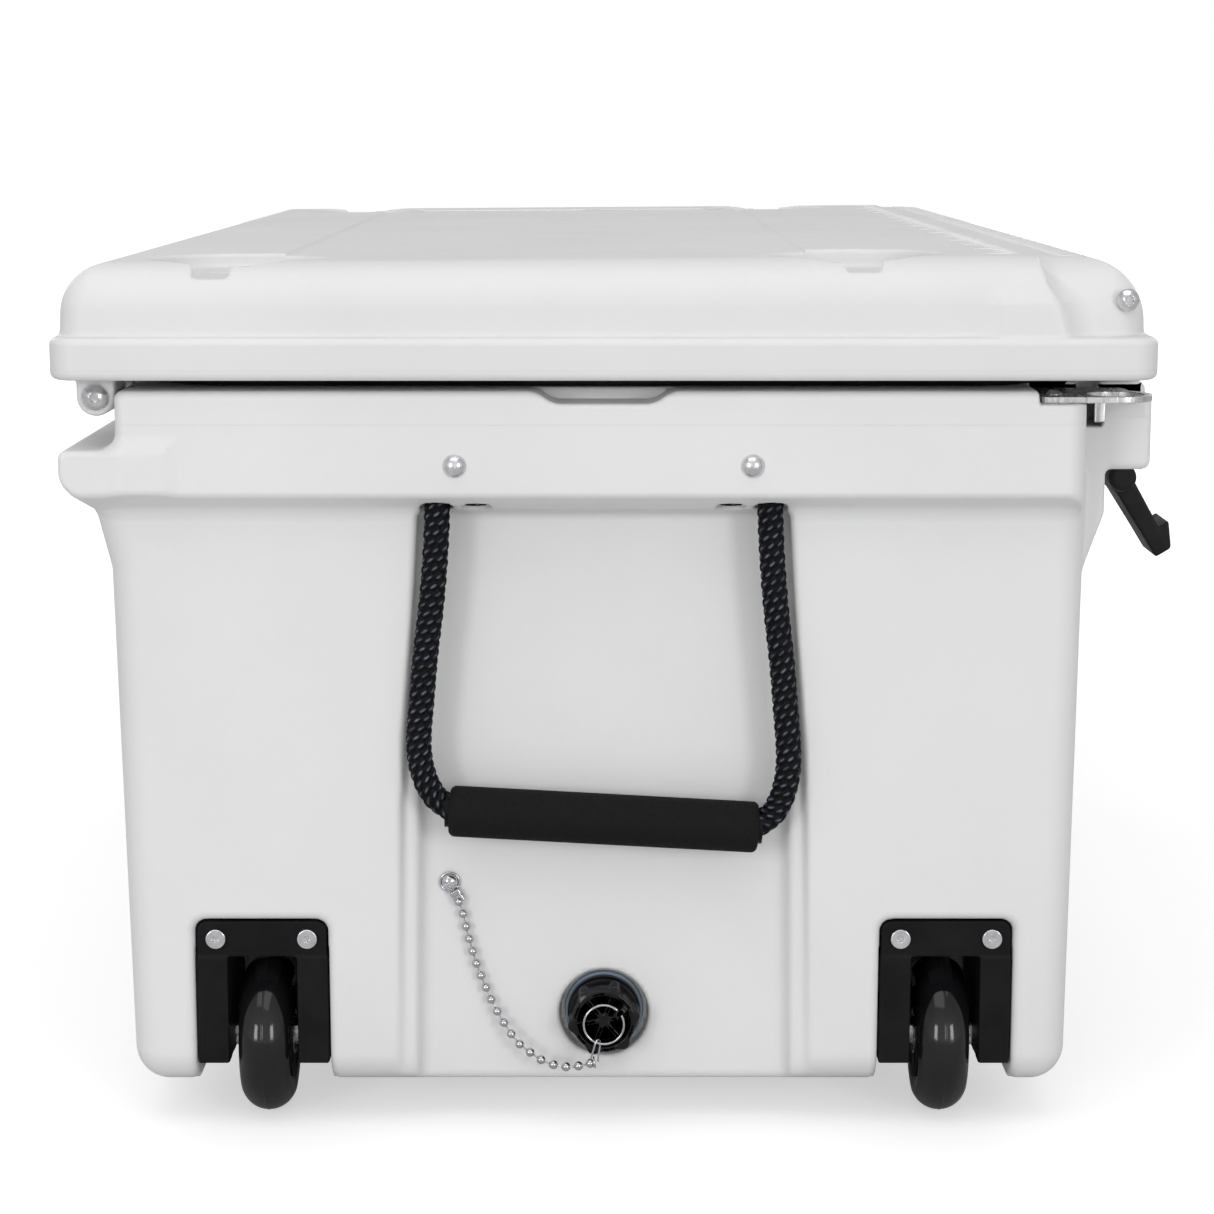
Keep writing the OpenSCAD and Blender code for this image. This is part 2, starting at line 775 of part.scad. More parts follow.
module lid_outside() {
    hull() {
        slice(half_l - 5, half_w - 5, 25, lid_bottom + eps);
        slice(half_l, half_w, 30, lid_bottom + 5);
        slice(half_l, half_w, 30, lid_flange_top - 3);
        slice(half_l - 3, half_w - 3, 27, lid_flange_top);
    }
    difference() {
        hull() {
            slice(dome_x, dome_y, 30, lid_flange_top);
            slice(dome_x, dome_y, 30, lid_side_top);
            slice(dome_x - 6, dome_y - 8, 30, lid_top - 6);
            slice(dome_x - 19, dome_y - 24, 30, lid_top);
        }
        // Front corners set back for the ends of the latch rod
        for (s = [-1, 1]) translate([s * (scoop_x + 25), -half_w, lid_flange_top])
            translate([-25, -10, 0]) cube([50, 62, 50]);
    }
    slab(mouth_x - 10, mouth_y - 10, 26, inner_panel_z, lid_bottom + 3);
    // Hinge knuckles of the lid
    for (x = lid_knuckle_x) {
        translate([0, hinge_y, hinge_z])
            rod_x(x - lid_knuckle_l / 2, x + lid_knuckle_l / 2, knuckle_r - 0.2);
        box(x - lid_knuckle_l / 2, x + lid_knuckle_l / 2, rim_back_y + 0.8, hinge_y + 8.8,
            hinge_z, lid_bottom + 3);
    }
}

module lid_hollow(inset) {
    difference() {
        slab(half_l - 21 - inset, 221 - inset, 24, lid_bottom + skin + inset,
            lid_top - 12 - inset);
        for (s = [-1, 1], y = [cup_front_y, cup_back_y])
            translate([s * cup_x, y, lid_top - cup_depth - skin - inset]) {
                cylinder(r = cup_d / 2 + skin + inset, h = cup_depth);
                translate([s > 0 ? 0 : -70, -14 - inset, 3.5]) cube([70, 28 + 2 * inset, cup_depth]);
            }
    }
    slab(cup_x - cup_d / 2 - skin - 1 - inset, 205 - inset, 24, lid_top - 13 - inset,
        lid_top - skin - 1 - inset);
    slab(mouth_x - 16 - inset, mouth_y - 16 - inset, 20, inner_panel_z + skin + inset,
        lid_bottom + skin + 1);
}

module lid_shell() {
    color("gainsboro") placed() difference() {
        lid_outside();
        lid_hollow(0);
        for (s = [-1, 1], y = [cup_front_y, cup_back_y])
            translate([s * cup_x, y, lid_top - cup_depth]) {
                cylinder(r = cup_d / 2, h = cup_depth + 1);
                translate([s > 0 ? 0 : -60, -9, 3.5]) cube([60, 18, cup_depth]);
            }
        // Shallow centre panel
        translate([0, (cup_front_y + cup_back_y) / 2, lid_top - 1]) cube([704, 250, 2.1], true);
        // Room for the tub's knuckles
        for (x = body_knuckle_x)
            translate([0, hinge_y, hinge_z])
                rod_x(x - body_knuckle_l / 2 - 1, x + body_knuckle_l / 2 + 1,
                    knuckle_r + knuckle_gap);
        translate([0, hinge_y, hinge_z]) rod_x(-half_l + 5, half_l - 5, hinge_rod_r + running_gap);
        // Slots for the latch arms and the bore of their rod
        for (x = [-latch_x, latch_x])
            box(x - latch_slot_w / 2, x + latch_slot_w / 2, -260, -229, 350, 410);
        translate([0, latch_rod_y, latch_rod_z]) rod_x(-half_l, half_l, latch_rod_r + running_gap);
        // Groove for the gasket, and the fill port
        gasket_ring(lid_bottom - 1, lid_bottom + 2);
        translate([200, 0, inner_panel_z - 1]) cylinder(r = 12.5, h = 8);
    }
}

module gasket_ring(z0, z1) {
    difference() {
        slab(394, 209, 34, z0, z1);
        slab(382, 197, 26, z0 - 1, z1 + 1);
    }
}

module lid_gasket() {
    color("black") placed() difference() {
        slab(393.8, 208.8, 34, gasket_z, lid_bottom + 1.8);
        slab(382.2, 197.2, 26, gasket_z - 1, lid_bottom + 3);
    }
}

module lid_foam() {
    color("khaki") placed() lid_hollow(0.2);
}

module lid_fill_plug() {
    color("gainsboro") placed() translate([200, 0, inner_panel_z]) cylinder(r = 12.45, h = 4.8);
}

module latch_rod() {
    color("silver") placed() translate([0, latch_rod_y, latch_rod_z]) {
        rod_x(-latch_rod_l / 2, latch_rod_l / 2, latch_rod_r);
        translate([-latch_rod_l / 2, 0, 0]) rotate([0, -90, 0]) button_head(5.2, 3.6);
    }
}

module latch_rod_cap() {
    color("silver") placed() translate([latch_rod_l / 2, latch_rod_y, latch_rod_z])
        rotate([0, 90, 0]) button_head(5.2, 3.6);
}

// Rubber latch: an eye round the rod, a flat arm, a cross bar and a slanting pull tab.
module latch(x) {
    arm_angle = atan((latch_rod_y - bar_y) / (latch_rod_z - bar_z));
    arm_l = norm([latch_rod_y - bar_y, latch_rod_z - bar_z]);
    tab_angle = 31;
    tab_l = 38;
    color("black") placed() translate([x, latch_rod_y, latch_rod_z]) difference() {
        union() {
            rod_x(-latch_arm_w / 2, latch_arm_w / 2, eye_r);
            rotate([-arm_angle, 0, 0]) box(-latch_arm_w / 2 + 0.5, latch_arm_w / 2 - 0.5,
                -arm_t / 2, arm_t / 2, -arm_l, 0);
            translate([0, bar_y - latch_rod_y, bar_z - latch_rod_z]) {
                rod_x(-bar_l / 2, bar_l / 2, bar_r);
                rotate([-tab_angle, 0, 0]) {
                    box(-17, 17, -5, 5, -tab_l, 0);
                    box(-16, 16, -8, -4, -tab_l + 5, -tab_l + 16);
                }
            }
        }
        rod_x(-latch_arm_w, latch_arm_w, latch_rod_r + running_gap);
    }
}

module near_latch() { latch(-latch_x); }
module far_latch() { latch(latch_x); }

// ---------------------------------------------------------------- nodes

body_shell();
body_foam();
body_fill_plug();
tub_feet();
tub_foot_screws();
drain_fitting();
drain_seal();
drain_inner_nut();
wheel_brackets();
bracket_screws();
axle_bolts();
axle_nuts();
axle_spacers();
front_wheel_tyre();
front_wheel_hub();
front_wheel_bearings();
front_wheel_sleeve();
back_wheel_tyre();
back_wheel_hub();
back_wheel_bearings();
back_wheel_sleeve();
rope_anchors();
rope_bolts();
rope_bolt_nuts();
near_rope();
near_grip();
near_grip_core();
far_rope();
far_grip();
far_grip_core();
lock_plates();
lock_plate_screws();
hinge_rod();
hinge_rod_cap();
lid_shell();
lid_foam();
lid_fill_plug();
lid_gasket();
latch_rod();
latch_rod_cap();
near_latch();
far_latch();
plug_gasket();
drain_plug();
split_ring();
chain_end_link();
chain_screw();
chain_eyelet();
bead_chain();
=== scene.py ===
import json
import math

import bpy
import numpy as np
from numpy import hypot
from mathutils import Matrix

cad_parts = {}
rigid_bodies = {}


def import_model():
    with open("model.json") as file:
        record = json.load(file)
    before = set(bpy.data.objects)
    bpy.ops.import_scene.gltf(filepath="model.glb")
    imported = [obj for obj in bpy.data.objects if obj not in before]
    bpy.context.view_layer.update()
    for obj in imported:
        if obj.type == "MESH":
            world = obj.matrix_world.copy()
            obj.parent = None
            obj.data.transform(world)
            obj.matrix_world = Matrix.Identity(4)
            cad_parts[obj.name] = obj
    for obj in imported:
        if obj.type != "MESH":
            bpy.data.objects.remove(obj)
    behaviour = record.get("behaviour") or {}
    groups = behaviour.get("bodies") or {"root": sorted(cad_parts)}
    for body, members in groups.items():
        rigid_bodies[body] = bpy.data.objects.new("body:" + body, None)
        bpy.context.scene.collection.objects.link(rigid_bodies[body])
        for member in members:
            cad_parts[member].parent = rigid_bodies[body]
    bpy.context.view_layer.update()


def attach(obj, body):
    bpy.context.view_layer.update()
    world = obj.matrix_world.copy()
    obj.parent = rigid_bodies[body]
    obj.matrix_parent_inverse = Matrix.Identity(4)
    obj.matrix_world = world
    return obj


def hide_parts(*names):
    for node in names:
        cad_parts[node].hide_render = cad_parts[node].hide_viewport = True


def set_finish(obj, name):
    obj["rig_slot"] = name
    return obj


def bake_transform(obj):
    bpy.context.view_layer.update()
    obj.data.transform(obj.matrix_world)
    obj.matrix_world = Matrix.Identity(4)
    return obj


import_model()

scene = bpy.context.scene
MM = 0.001
CENTRE = 0.015  # the tub's centre plane stands this far along +Y
COARSE = 1.0


def placed(points):
    """Millimetres about the tub's centre plane, as metres in the frame."""
    return np.asarray(points, float) * MM + np.array([0, CENTRE, 0])


def put(name, data):
    """A new object in the scene."""
    piece = bpy.data.objects.new(name, data)
    scene.collection.objects.link(piece)
    return piece


# ---- camera

LOOKS_DOWN = 9.565  # degrees
camera = put("camera", bpy.data.cameras.new("camera"))
camera.data.sensor_width = 36
camera.data.lens = 85.7
camera.data.clip_end = 50
camera.location = (-1.727, 0.0135, 0.4775)
camera.rotation_euler = (math.radians(90 - LOOKS_DOWN), 0, math.radians(-90))
scene.camera = camera

# ---- mesh helpers


def mesh_object(name, points, faces, body, slot):
    """A new piece from points in millimetres, which rides on a CAD body."""
    mesh = bpy.data.meshes.new(name)
    mesh.from_pydata(placed(points).tolist(), [], [list(map(int, f)) for f in faces])
    mesh.validate()
    mesh.shade_smooth()
    piece = put(name, mesh)
    if body:
        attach(piece, body)
    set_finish(piece, slot)
    return piece


def lathe(profile, steps, centre, axis):
    """Points and faces of a closed turned ring. The profile is (along, radius) pairs in order."""
    profile = np.asarray(profile, float)
    count = len(profile)
    angle = np.arange(steps) * 2 * math.pi / steps
    unit = {"x": (0, 1, 2), "y": (1, 2, 0)}[axis]
    points = np.zeros((steps, count, 3))
    points[:, :, unit[0]] = profile[None, :, 0]
    points[:, :, unit[1]] = np.cos(angle)[:, None] * profile[None, :, 1]
    points[:, :, unit[2]] = np.sin(angle)[:, None] * profile[None, :, 1]
    faces = []
    for i in range(steps):
        j = (i + 1) % steps
        for k in range(count):
            m = (k + 1) % count
            faces.append((i * count + k, i * count + m, j * count + m, j * count + k))
    return points.reshape(-1, 3) + np.array(centre, float), faces


def combine(parts):
    """Several (points, faces) pairs as one pair."""
    points, faces, offset = [], [], 0
    for p, f in parts:
        points.append(np.asarray(p, float))
        faces.extend([tuple(v + offset for v in face) for face in f])
        offset += len(p)
    return np.vstack(points), faces


def run_of(path):
    """Distance along a path to each of its points."""
    return np.concatenate([[0], np.cumsum(np.linalg.norm(np.diff(path, axis=0), axis=1))])


def smooth_path(points, step):
    """A Catmull-Rom curve through the points, as evenly spaced points."""
    p = np.asarray(points, float)
    p = np.vstack([2 * p[0] - p[1], p, 2 * p[-1] - p[-2]])
    t = np.linspace(0, 1, 24, endpoint=False)[:, None]
    pieces = []
    for a, b, c, d in zip(p[:-3], p[1:-2], p[2:-1], p[3:]):
        pieces.append(0.5 * (2 * b + (c - a) * t + (2 * a - 5 * b + 4 * c - d) * t ** 2
                             + (3 * b - a - 3 * c + d) * t ** 3))
    curve = np.vstack(pieces + [p[-2:-1]])
    run = run_of(curve)
    at = np.linspace(0, run[-1], max(2, int(round(run[-1] / step))) + 1)
    return np.stack([np.interp(at, run, curve[:, k]) for k in range(3)], axis=1)


def sweep(centre, radius, up=(1, 0, 0)):
    """Points and faces of a closed tube. radius has one row for each point of the centre line."""
    centre = np.asarray(centre, float)
    count, sides = radius.shape
    along = np.gradient(centre, axis=0)
    along /= np.linalg.norm(along, axis=1)[:, None]
    side = np.cross(np.array(up, float), along)
    side /= np.linalg.norm(side, axis=1)[:, None]
    third = np.cross(along, side)
    angle = np.arange(sides) * 2 * math.pi / sides
    ring = (np.cos(angle)[None, :, None] * side[:, None, :]
            + np.sin(angle)[None, :, None] * third[:, None, :])
    points = (centre[:, None, :] + ring * radius[:, :, None]).reshape(-1, 3)
    faces = []
    for i in range(count - 1):
        for k in range(sides):
            m = (k + 1) % sides
            faces.append((i * sides + k, i * sides + m, (i + 1) * sides + m, (i + 1) * sides + k))
    points = np.vstack([points, centre[:1], centre[-1:]])
    first, last, rim = len(points) - 2, len(points) - 1, (count - 1) * sides
    for k in range(sides):
        m = (k + 1) % sides
        faces += [(first, m, k), (last, rim + k, rim + m)]
    return points, faces


# ---- ropes and chain

ROPE_D = 12.0
ROPE_X = 404.0
BOLT_Y, BOLT_Z = 68.0, 322.0
WRAP_R = 9.2
PIVOT_Z, GRIP_Z, GRIP_SLOPE = 297.0, 153.5, 0.055
LEG = [(77, 297), (78, 278), (80, 255), (83, 230), (85, 208), (86.5, 190), (86, 178),
       (83.5, 168), (79, 160), (72, 155), (64, 153.7), (52, 153.5)]
ROPE_TOP = 305.0
STITCH_STEPS = (4.7, 1.05), (2.4, -3.675)


def tilt(y, z):
    return GRIP_SLOPE * y * (PIVOT_Z - z) / (PIVOT_Z - GRIP_Z)


def braid(centre):
    """A solid-braid rope: slanted stitches in a lattice round the rope. Gives the points, the
    faces, and a mask along the top of each stitch, where a glint is painted into the colour."""
    sides = 64
    run = run_of(centre)
    around = (np.arange(sides) / sides * math.pi * ROPE_D)[None, :]
    # The stitches lie at whole numbers of two steps, each (around, along) in millimetres
    (pa, pl), (qa, ql) = STITCH_STEPS
    area = pa * ql - pl * qa
    i = (around * ql - run[:, None] * qa) / area
    j = (run[:, None] * pa - around * pl) / area
    i, j = i - np.round(i), j - np.round(j)
    off_around, off_along = i * pa + j * qa, i * pl + j * ql
    length = (0.8 * off_around + 0.6 * off_along) / 3.4
    width = (0.8 * off_along - 0.6 * off_around) / 1.9
    stitch = np.clip(1 - length ** 2 - width ** 2, 0, 1) ** 0.5
    # Painted glint: a thin stroke along the top of each stitch, later lightened in the base colour
    # as a painted highlight
    painted_glint = np.clip(1 - (length / 0.62) ** 2 - (width / 0.34) ** 2, 0, 1)
    points, faces = sweep(centre, ROPE_D / 2 - 0.95 + 1.1 * stitch)
    return points, faces, np.append(painted_glint.ravel(), [0, 0])


def rope_mesh(name, parts, body):
    """One piece from several braids, which keeps the painted glint mask for its material."""
    rope = mesh_object(name, *combine([part[:2] for part in parts]), body, "rope")
    painted_glint = rope.data.attributes.new("painted_glint", "FLOAT", "POINT")
    painted_glint.data.foreach_set("value", np.concatenate([part[2] for part in parts]))
    return rope


def rope_path(end):
    """The route of one handle's rope in millimetres; end is -1 for the near end."""
    left = [(end * ROPE_X, y, z + tilt(y, z)) for y, z in LEG]
    right = [(end * ROPE_X, -y, z - tilt(y, z)) for y, z in reversed(LEG)]
    top = [(end * ROPE_X, 77.2, ROPE_TOP)], [(end * ROPE_X, -77.2, ROPE_TOP)]
    return smooth_path(top[0] + left + right + top[1], 0.7 * COARSE)


def length_of(path):
    return float(np.linalg.norm(np.diff(path, axis=0), axis=1).sum())


ropes = {}
for word, end in (("near", -1), ("far", 1)):
    path = rope_path(end)
    rope = rope_mesh(word + "_rope_braid", [braid(path)], None)
    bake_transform(rope)
    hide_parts(word + "_rope")
    ropes[word] = (rope, path)

# Rope ends wrapped over their bolts inside the lips
anchors = []
for end in (-1, 1):
    for side in (-1, 1):
        bend = [(end * ROPE_X, side * (BOLT_Y + WRAP_R * math.cos(a)),
                 BOLT_Z + WRAP_R * math.sin(a)) for a in np.linspace(0, math.pi, 13)]
        start = [(end * ROPE_X, side * (BOLT_Y + WRAP_R), ROPE_TOP - 0.5)]
        tail = [(end * ROPE_X, side * (BOLT_Y - WRAP_R), z) for z in (315, 302.6)]
        anchors.append(braid(smooth_path(start + bend + tail, 0.9 * COARSE)))
anchor = rope_mesh("rope_end_wraps", anchors, "root")
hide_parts("rope_anchors")

CHAIN = [(-391.5, 70, 112), (-391, 67.5, 105), (-391, 64.5, 92), (-391, 60.5, 78),
         (-391, 55.5, 65), (-392, 52.5, 58.5), (-393.5, 49, 52.5), (-395, 45, 46.5),
         (-396, 40.5, 41), (-397.5, 35, 37), (-399, 29, 33.5), (-400, 22.5, 31.5),
         (-402, 16, 31.5), (-404, 10, 33), (-406, 4.5, 35)]
BEAD_D = 4.4


def bead_string(centre):
    """Hollow beads on short wire links, as one tube of changing radius."""
    run = run_of(centre)
    count = int(round((run[-1] - BEAD_D) / 6.5)) + 1
    beads = np.linspace(BEAD_D / 2, run[-1] - BEAD_D / 2, count)
    gap = abs(run[:, None] - beads[None, :]).min(axis=1)
    ball = np.sqrt(np.clip((BEAD_D / 2) ** 2 - gap ** 2, 0, None))
    return np.maximum(ball, 0.45)[:, None] * np.ones((1, 20))


chain_path = smooth_path(CHAIN, 0.22)
chain = mesh_object("ball_chain", *sweep(chain_path, bead_string(chain_path)), None, "chrome_wire")
placed(CHAIN[0])
placed(CHAIN[-1])
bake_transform(chain)
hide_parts("bead_chain")

# ---- rounded solids
#
# A solid is a function of x, y, z that is negative inside and about the distance to the
# surface. meet, join and cut work on two of them: sharp, or rounded with radius r.


def meet(a, b, r=0.0):
    if np.isscalar(r) and r == 0:
        return np.maximum(a, b)
    u, v = a + r, b + r
    return (np.sqrt(np.maximum(u, 0) ** 2 + np.maximum(v, 0) ** 2)
            + np.minimum(np.maximum(u, v), 0) - r)


def join(a, b, r=0.0):
    return -meet(-a, -b, r)


def cut(a, b, r=0.0):
    return meet(a, -b, r)


def graded(start, *runs):
    """Grid lines from start: each run is (end, step)."""
    lines = [float(start)]
    for end, step in runs:
        count = max(1, int(round((end - lines[-1]) / (step * COARSE))))
        lines.extend(np.linspace(lines[-1], end, count + 1)[1:].tolist())
    return np.array(lines)


def even(low, high, step):
    return graded(low, (high, step))


def sampled(field, points, chunk=16384):
    out = np.empty(len(points))
    for i in range(0, len(points), chunk):
        p = points[i:i + chunk]
        out[i:i + chunk] = field(p[:, 0], p[:, 1], p[:, 2])
    return out


def slope(field, points, d=0.04):
    """Gradient of the field at points."""
    out = np.empty((len(points), 3))
    for k in range(3):
        shift = np.zeros(3)
        shift[k] = d
        out[:, k] = (sampled(field, points + shift) - sampled(field, points - shift)) / (2 * d)
    return out


def settle(field, points, reach, rounds=2):
    """Moves points onto the surface, and returns them with the outward normals."""
    for _ in range(rounds):
        g = slope(field, points)
        size = np.maximum((g ** 2).sum(1), 0.05)
        move = np.clip(sampled(field, points) / size, -reach, reach)
        points = points - g * move[:, None]
    g = slope(field, points)
    return points, g / np.maximum(np.linalg.norm(g, axis=1), 1e-9)[:, None]


def surface(field, xs, ys, zs):
    """Surface nets on a grid of uneven steps: points and triangles of field == 0."""
    grid = [xs, ys, zs]
    shape = [len(g) for g in grid]
    value = np.empty(shape, np.float32)
    fx, fy, fz = (g.astype(np.float32) for g in grid)
    for i in range(0, shape[0], 6):
        value[i:i + 6] = field(fx[i:i + 6, None, None], fy[None, :, None], fz[None, None, :])
    inside = value < 0
    cells, spots, quads = [], [], []
    ny, nz = shape[1], shape[2]
    for a in range(3):
        b, c = (a + 1) % 3, (a + 2) % 3
        at = list(np.nonzero(np.diff(inside, axis=a)))  # where the sign changes along this axis
        keep = (at[b] > 0) & (at[c] > 0) & (at[b] < shape[b] - 1) & (at[c] < shape[c] - 1)
        at = [x[keep] for x in at]
        nxt = [x.copy() for x in at]
        nxt[a] += 1
        v0, v1 = value[tuple(at)].astype(float), value[tuple(nxt)].astype(float)
        t = v0 / (v0 - v1)
        spot = np.stack([grid[k][at[k]] for k in range(3)], axis=1)
        spot[:, a] += t * (grid[a][nxt[a]] - grid[a][at[a]])
        corners = []
        for db, dc in ((-1, -1), (0, -1), (0, 0), (-1, 0)):
            cell = [x.copy() for x in at]
            cell[b] += db
            cell[c] += dc
            corners.append((cell[0] * ny + cell[1]) * nz + cell[2])
        quad = np.stack(corners, axis=1)
        quad[v0 > 0] = quad[v0 > 0][:, ::-1]
        quads.append(quad)
        cells.append(np.concatenate(corners))
        spots.append(np.tile(spot, (4, 1)))
    cells, spots, quads = np.concatenate(cells), np.vstack(spots), np.vstack(quads)
    names, which = np.unique(cells, return_inverse=True)
    number = np.bincount(which)
    points = np.stack([np.bincount(which, spots[:, k]) / number for k in range(3)], axis=1)
    quads = np.searchsorted(names, quads)
    d0 = np.linalg.norm(points[quads[:, 0]] - points[quads[:, 2]], axis=1)
    d1 = np.linalg.norm(points[quads[:, 1]] - points[quads[:, 3]], axis=1)
    swap = d1 < d0
    quads[swap] = np.roll(quads[swap], 1, axis=1)
    return points, np.vstack([quads[:, [0, 1, 2]], quads[:, [0, 2, 3]]])


def triangle_mesh(name, points, triangles):
    mesh = bpy.data.meshes.new(name)
    mesh.vertices.add(len(points))
    mesh.vertices.foreach_set("co", points.astype(np.float32).ravel())
    mesh.loops.add(3 * len(triangles))
    mesh.loops.foreach_set("vertex_index", triangles.astype(np.int32).ravel())
    mesh.polygons.add(len(triangles))
    mesh.polygons.foreach_set("loop_start", np.arange(0, 3 * len(triangles), 3, dtype=np.int32))
    mesh.update(calc_edges=True)
    mesh.validate()
    return mesh


def thinned(mesh, count, most):
    """The mesh with at most this many of its count triangles."""
    piece = put("dense", mesh)
    thin = piece.modifiers.new("thin", "DECIMATE")
    thin.ratio = most / count
    ready = piece.evaluated_get(bpy.context.evaluated_depsgraph_get())
    mesh = bpy.data.meshes.new_from_object(ready)
    bpy.data.objects.remove(piece)
    return mesh


def read_mesh(mesh):
    points = np.empty(3 * len(mesh.vertices))
    mesh.vertices.foreach_get("co", points)
    triangles = np.empty(3 * len(mesh.polygons), np.int32)
    mesh.polygons.foreach_get("vertices", triangles)
    return points.reshape(-1, 3), triangles.reshape(-1, 3)


ONE = [((1, 1, 1), (0, 0, 0))]
TWO_ENDS = ONE + [((-1, 1, 1), (0, 0, 0))]
TWO_SIDES = ONE + [((1, -1, 1), (0, 0, 0))]


def solid(name, field, grid, body, slot, most, copies=ONE):
    """A piece from a field, thinned to at most this many triangles, with exact normals.
    Each copy is a pair: the signs that mirror the solid, and how far it is then moved."""
    points, triangles = surface(field, *grid)
    step = min(np.diff(g).min() for g in grid)
    points, _ = settle(field, points, step)
    if len(triangles) > most:
        points, triangles = read_mesh(
            thinned(triangle_mesh(name, points, triangles), len(triangles), most))
    points, normals = settle(field, points, 0.3 * step, 1)
    all_points, all_triangles, all_normals = [], [], []
    for number, (signs, shift) in enumerate(copies):
        signs = np.array(signs, float)
        order = [0, 1, 2] if signs.prod() > 0 else [0, 2, 1]
        all_points.append(points * signs + np.array(shift, float))
        all_normals.append(normals * signs)
        all_triangles.append(triangles[:, order] + number * len(points))
    mesh = triangle_mesh(name, placed(np.vstack(all_points)), np.vstack(all_triangles))
    mesh.shade_smooth()
    mesh.normals_split_custom_set_from_vertices(np.vstack(all_normals).tolist())
    piece = put(name, mesh)
    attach(piece, body)
    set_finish(piece, slot)
    return piece


# ---- dimensions that several pieces share

RIM_Z = 356  # top of the tub
LIP_X = 419  # half the length over the tub's end lips
BODY_KNUCKLES, LID_KNUCKLES = (98, 293), (195, 391)
HINGE_Y, HINGE_Z = 232.5, 352.5
LATCH_X, LATCH_Y, LATCH_Z = 270, -238, 397
ARM_SLOT = 17  # half the width of the slots for the latch arms
WHEEL_Y, AXLE_X, AXLE_Z = 163, -367, 38
DRAIN_Z = 54
FILL_X, FILL_R = 200, 12.5
GASKET_X, GASKET_Y, GASKET_CORNER = 388, 203, 30
ANCHOR_Y, ANCHOR_Z = 73.5, 119  # the chain's screw


def near_any(ax, middles):
    """Distance along the cooler to the nearest of these places."""
    return np.minimum.reduce([abs(ax - middle) for middle in middles])


# ---- tub


def tub(x, y, z):
    ax, ay = abs(x), abs(y)
    rise = (z - 32) / 281
    flare = 8.4 * np.clip((z - 271) / 37, 0, 1)
    front, back = 222 + 2.5 * rise, 226 + 5 * rise + flare
    middle, half = (back - front) / 2, (back + front) / 2
    d = meet(ax - (398 + 5.5 * rise), abs(y - middle) - half, 16)
    d = meet(d, 20 - z, 17)
    d = meet(d, z - 315, 1)
    # Band along the two ends and ledge along the back, with a sloping underside
    lip = meet(meet(ax - LIP_X, -221 - y, 12), y - 223, 6)
    lip = meet(lip, z - RIM_Z, 4)
    ledge = meet(meet(y - 249, z - 329, 4), ((y - 249) * 11.5 - (z - 314) * 11) / 15.9, 3)
    ledge = meet(meet(ledge, 200 - y), ax - LIP_X, 3)
    lip = join(lip, ledge, 8)
    roof = (z - 299.4 + 0.16 * (403.5 - ax)) / 1.01
    under = meet(((308 - z) - 0.53 * (LIP_X - ax)) / 1.13, -roof)
    d = join(d, meet(lip, under, 2), 5)
    # Keeper rail along the front
    rail = meet(meet(ax - 383, -256 - y, 4), meet(z - RIM_Z, 316 - z), 4)
    splay = (-25 * (y + 235) - 9 * (z - 295)) / 26.6
    low = meet(meet(meet(-235 - y, splay), z - 318, 1), ax - 383, 3)
    front_rail = join(rail, meet(low, 262 - z), 3)
    d = join(d, meet(front_rail, y + 190), 3)
    # Hinge knuckles
    pin = hypot(y - HINGE_Y, z - HINGE_Z)
    block = meet(meet(y - HINGE_Y, 215 - y), meet(343.5 - z, z - RIM_Z))
    knuckle = near_any(ax, BODY_KNUCKLES) - 30
    d = join(d, meet(join(pin - 9, block), knuckle, 1.5), 2)
    d = cut(d, pin - 4.5)
    # Handle pockets, with a stepped edge
    wide = ay - np.interp(z, [18, 160, 230, 299], [97, 95, 90, 86])
    d = cut(d, meet(meet(wide, 395.3 - ax, 3), roof, 3), 3.5)
    d = cut(d, meet(meet(wide + 8, 388 - ax, 7), roof, 4), 3)
    # Finger notches
    notch = meet((ay - 23 - (z - 350.4) * 1.43) / 1.74, 350.4 - z, 2)
    d = cut(d, meet(notch, 395 - ax), 2)
    # Seats of the lock plates and the slots behind their tabs
    d = cut(d, meet(meet(363 - ax, y + 198, 4), 350 - z), 1.5)
    tab_slot = meet(meet(350 - ax, y + 223.5), meet(336.5 - z, -233 - y))
    d = cut(d, tab_slot, 0.6)
    # Holes for the rope ends
    hole = meet(abs(ay - BOLT_Y) - 17, abs(ax - ROPE_X) - 7.5, 5)
    d = cut(d, meet(hole, meet(z - 338, 309 - z)), 2)
    mouth = join(hypot(ay - BOLT_Y - WRAP_R, ax - ROPE_X) - 7.6,
                 hypot(ay - BOLT_Y + WRAP_R, ax - ROPE_X) - 6.6)
    d = cut(d, meet(mouth, z - 312), 0.8)
    # Slots in the rail for the latch arms
    arm_slot = meet(meet(abs(ax - LATCH_X) - ARM_SLOT, y + 236), 300 - z)
    d = cut(d, arm_slot, 2.5)
    # Wheel pockets
    side = abs(ay - WHEEL_Y) - 31.7
    d = cut(d, meet(meet(side, z - 102.8, 6), x + 386), 4.5)
    d = cut(d, meet(meet(side, z - 88), x + 325), 1)
    # Drain
    round_drain = hypot(y, z - DRAIN_Z)
    d = cut(d, meet(round_drain - 21.2, x + 380), 1.8)
    d = cut(d, meet(round_drain - 15.3, x + 330), 0.5)
    # Fill port under the tub
    d = cut(d, meet(hypot(x - FILL_X, y) - FILL_R, z - 33), 0.8)
    # Ice compartment and its sump
    draft = (z - 62) / 296 * 12
    room = meet(meet(ax - (338 + draft), ay - (164 + draft), 34), 62 - z, 12)
    d = cut(d, room, 5)
    sump = meet(meet(abs(x + 317.5) - 27.5, ay - 45, 8), meet(32 - z, z - 70), 3)
    d = cut(d, sump, 3)
    return cut(d, meet(round_drain - 21, meet(-345 - x, x + 330)), 1)


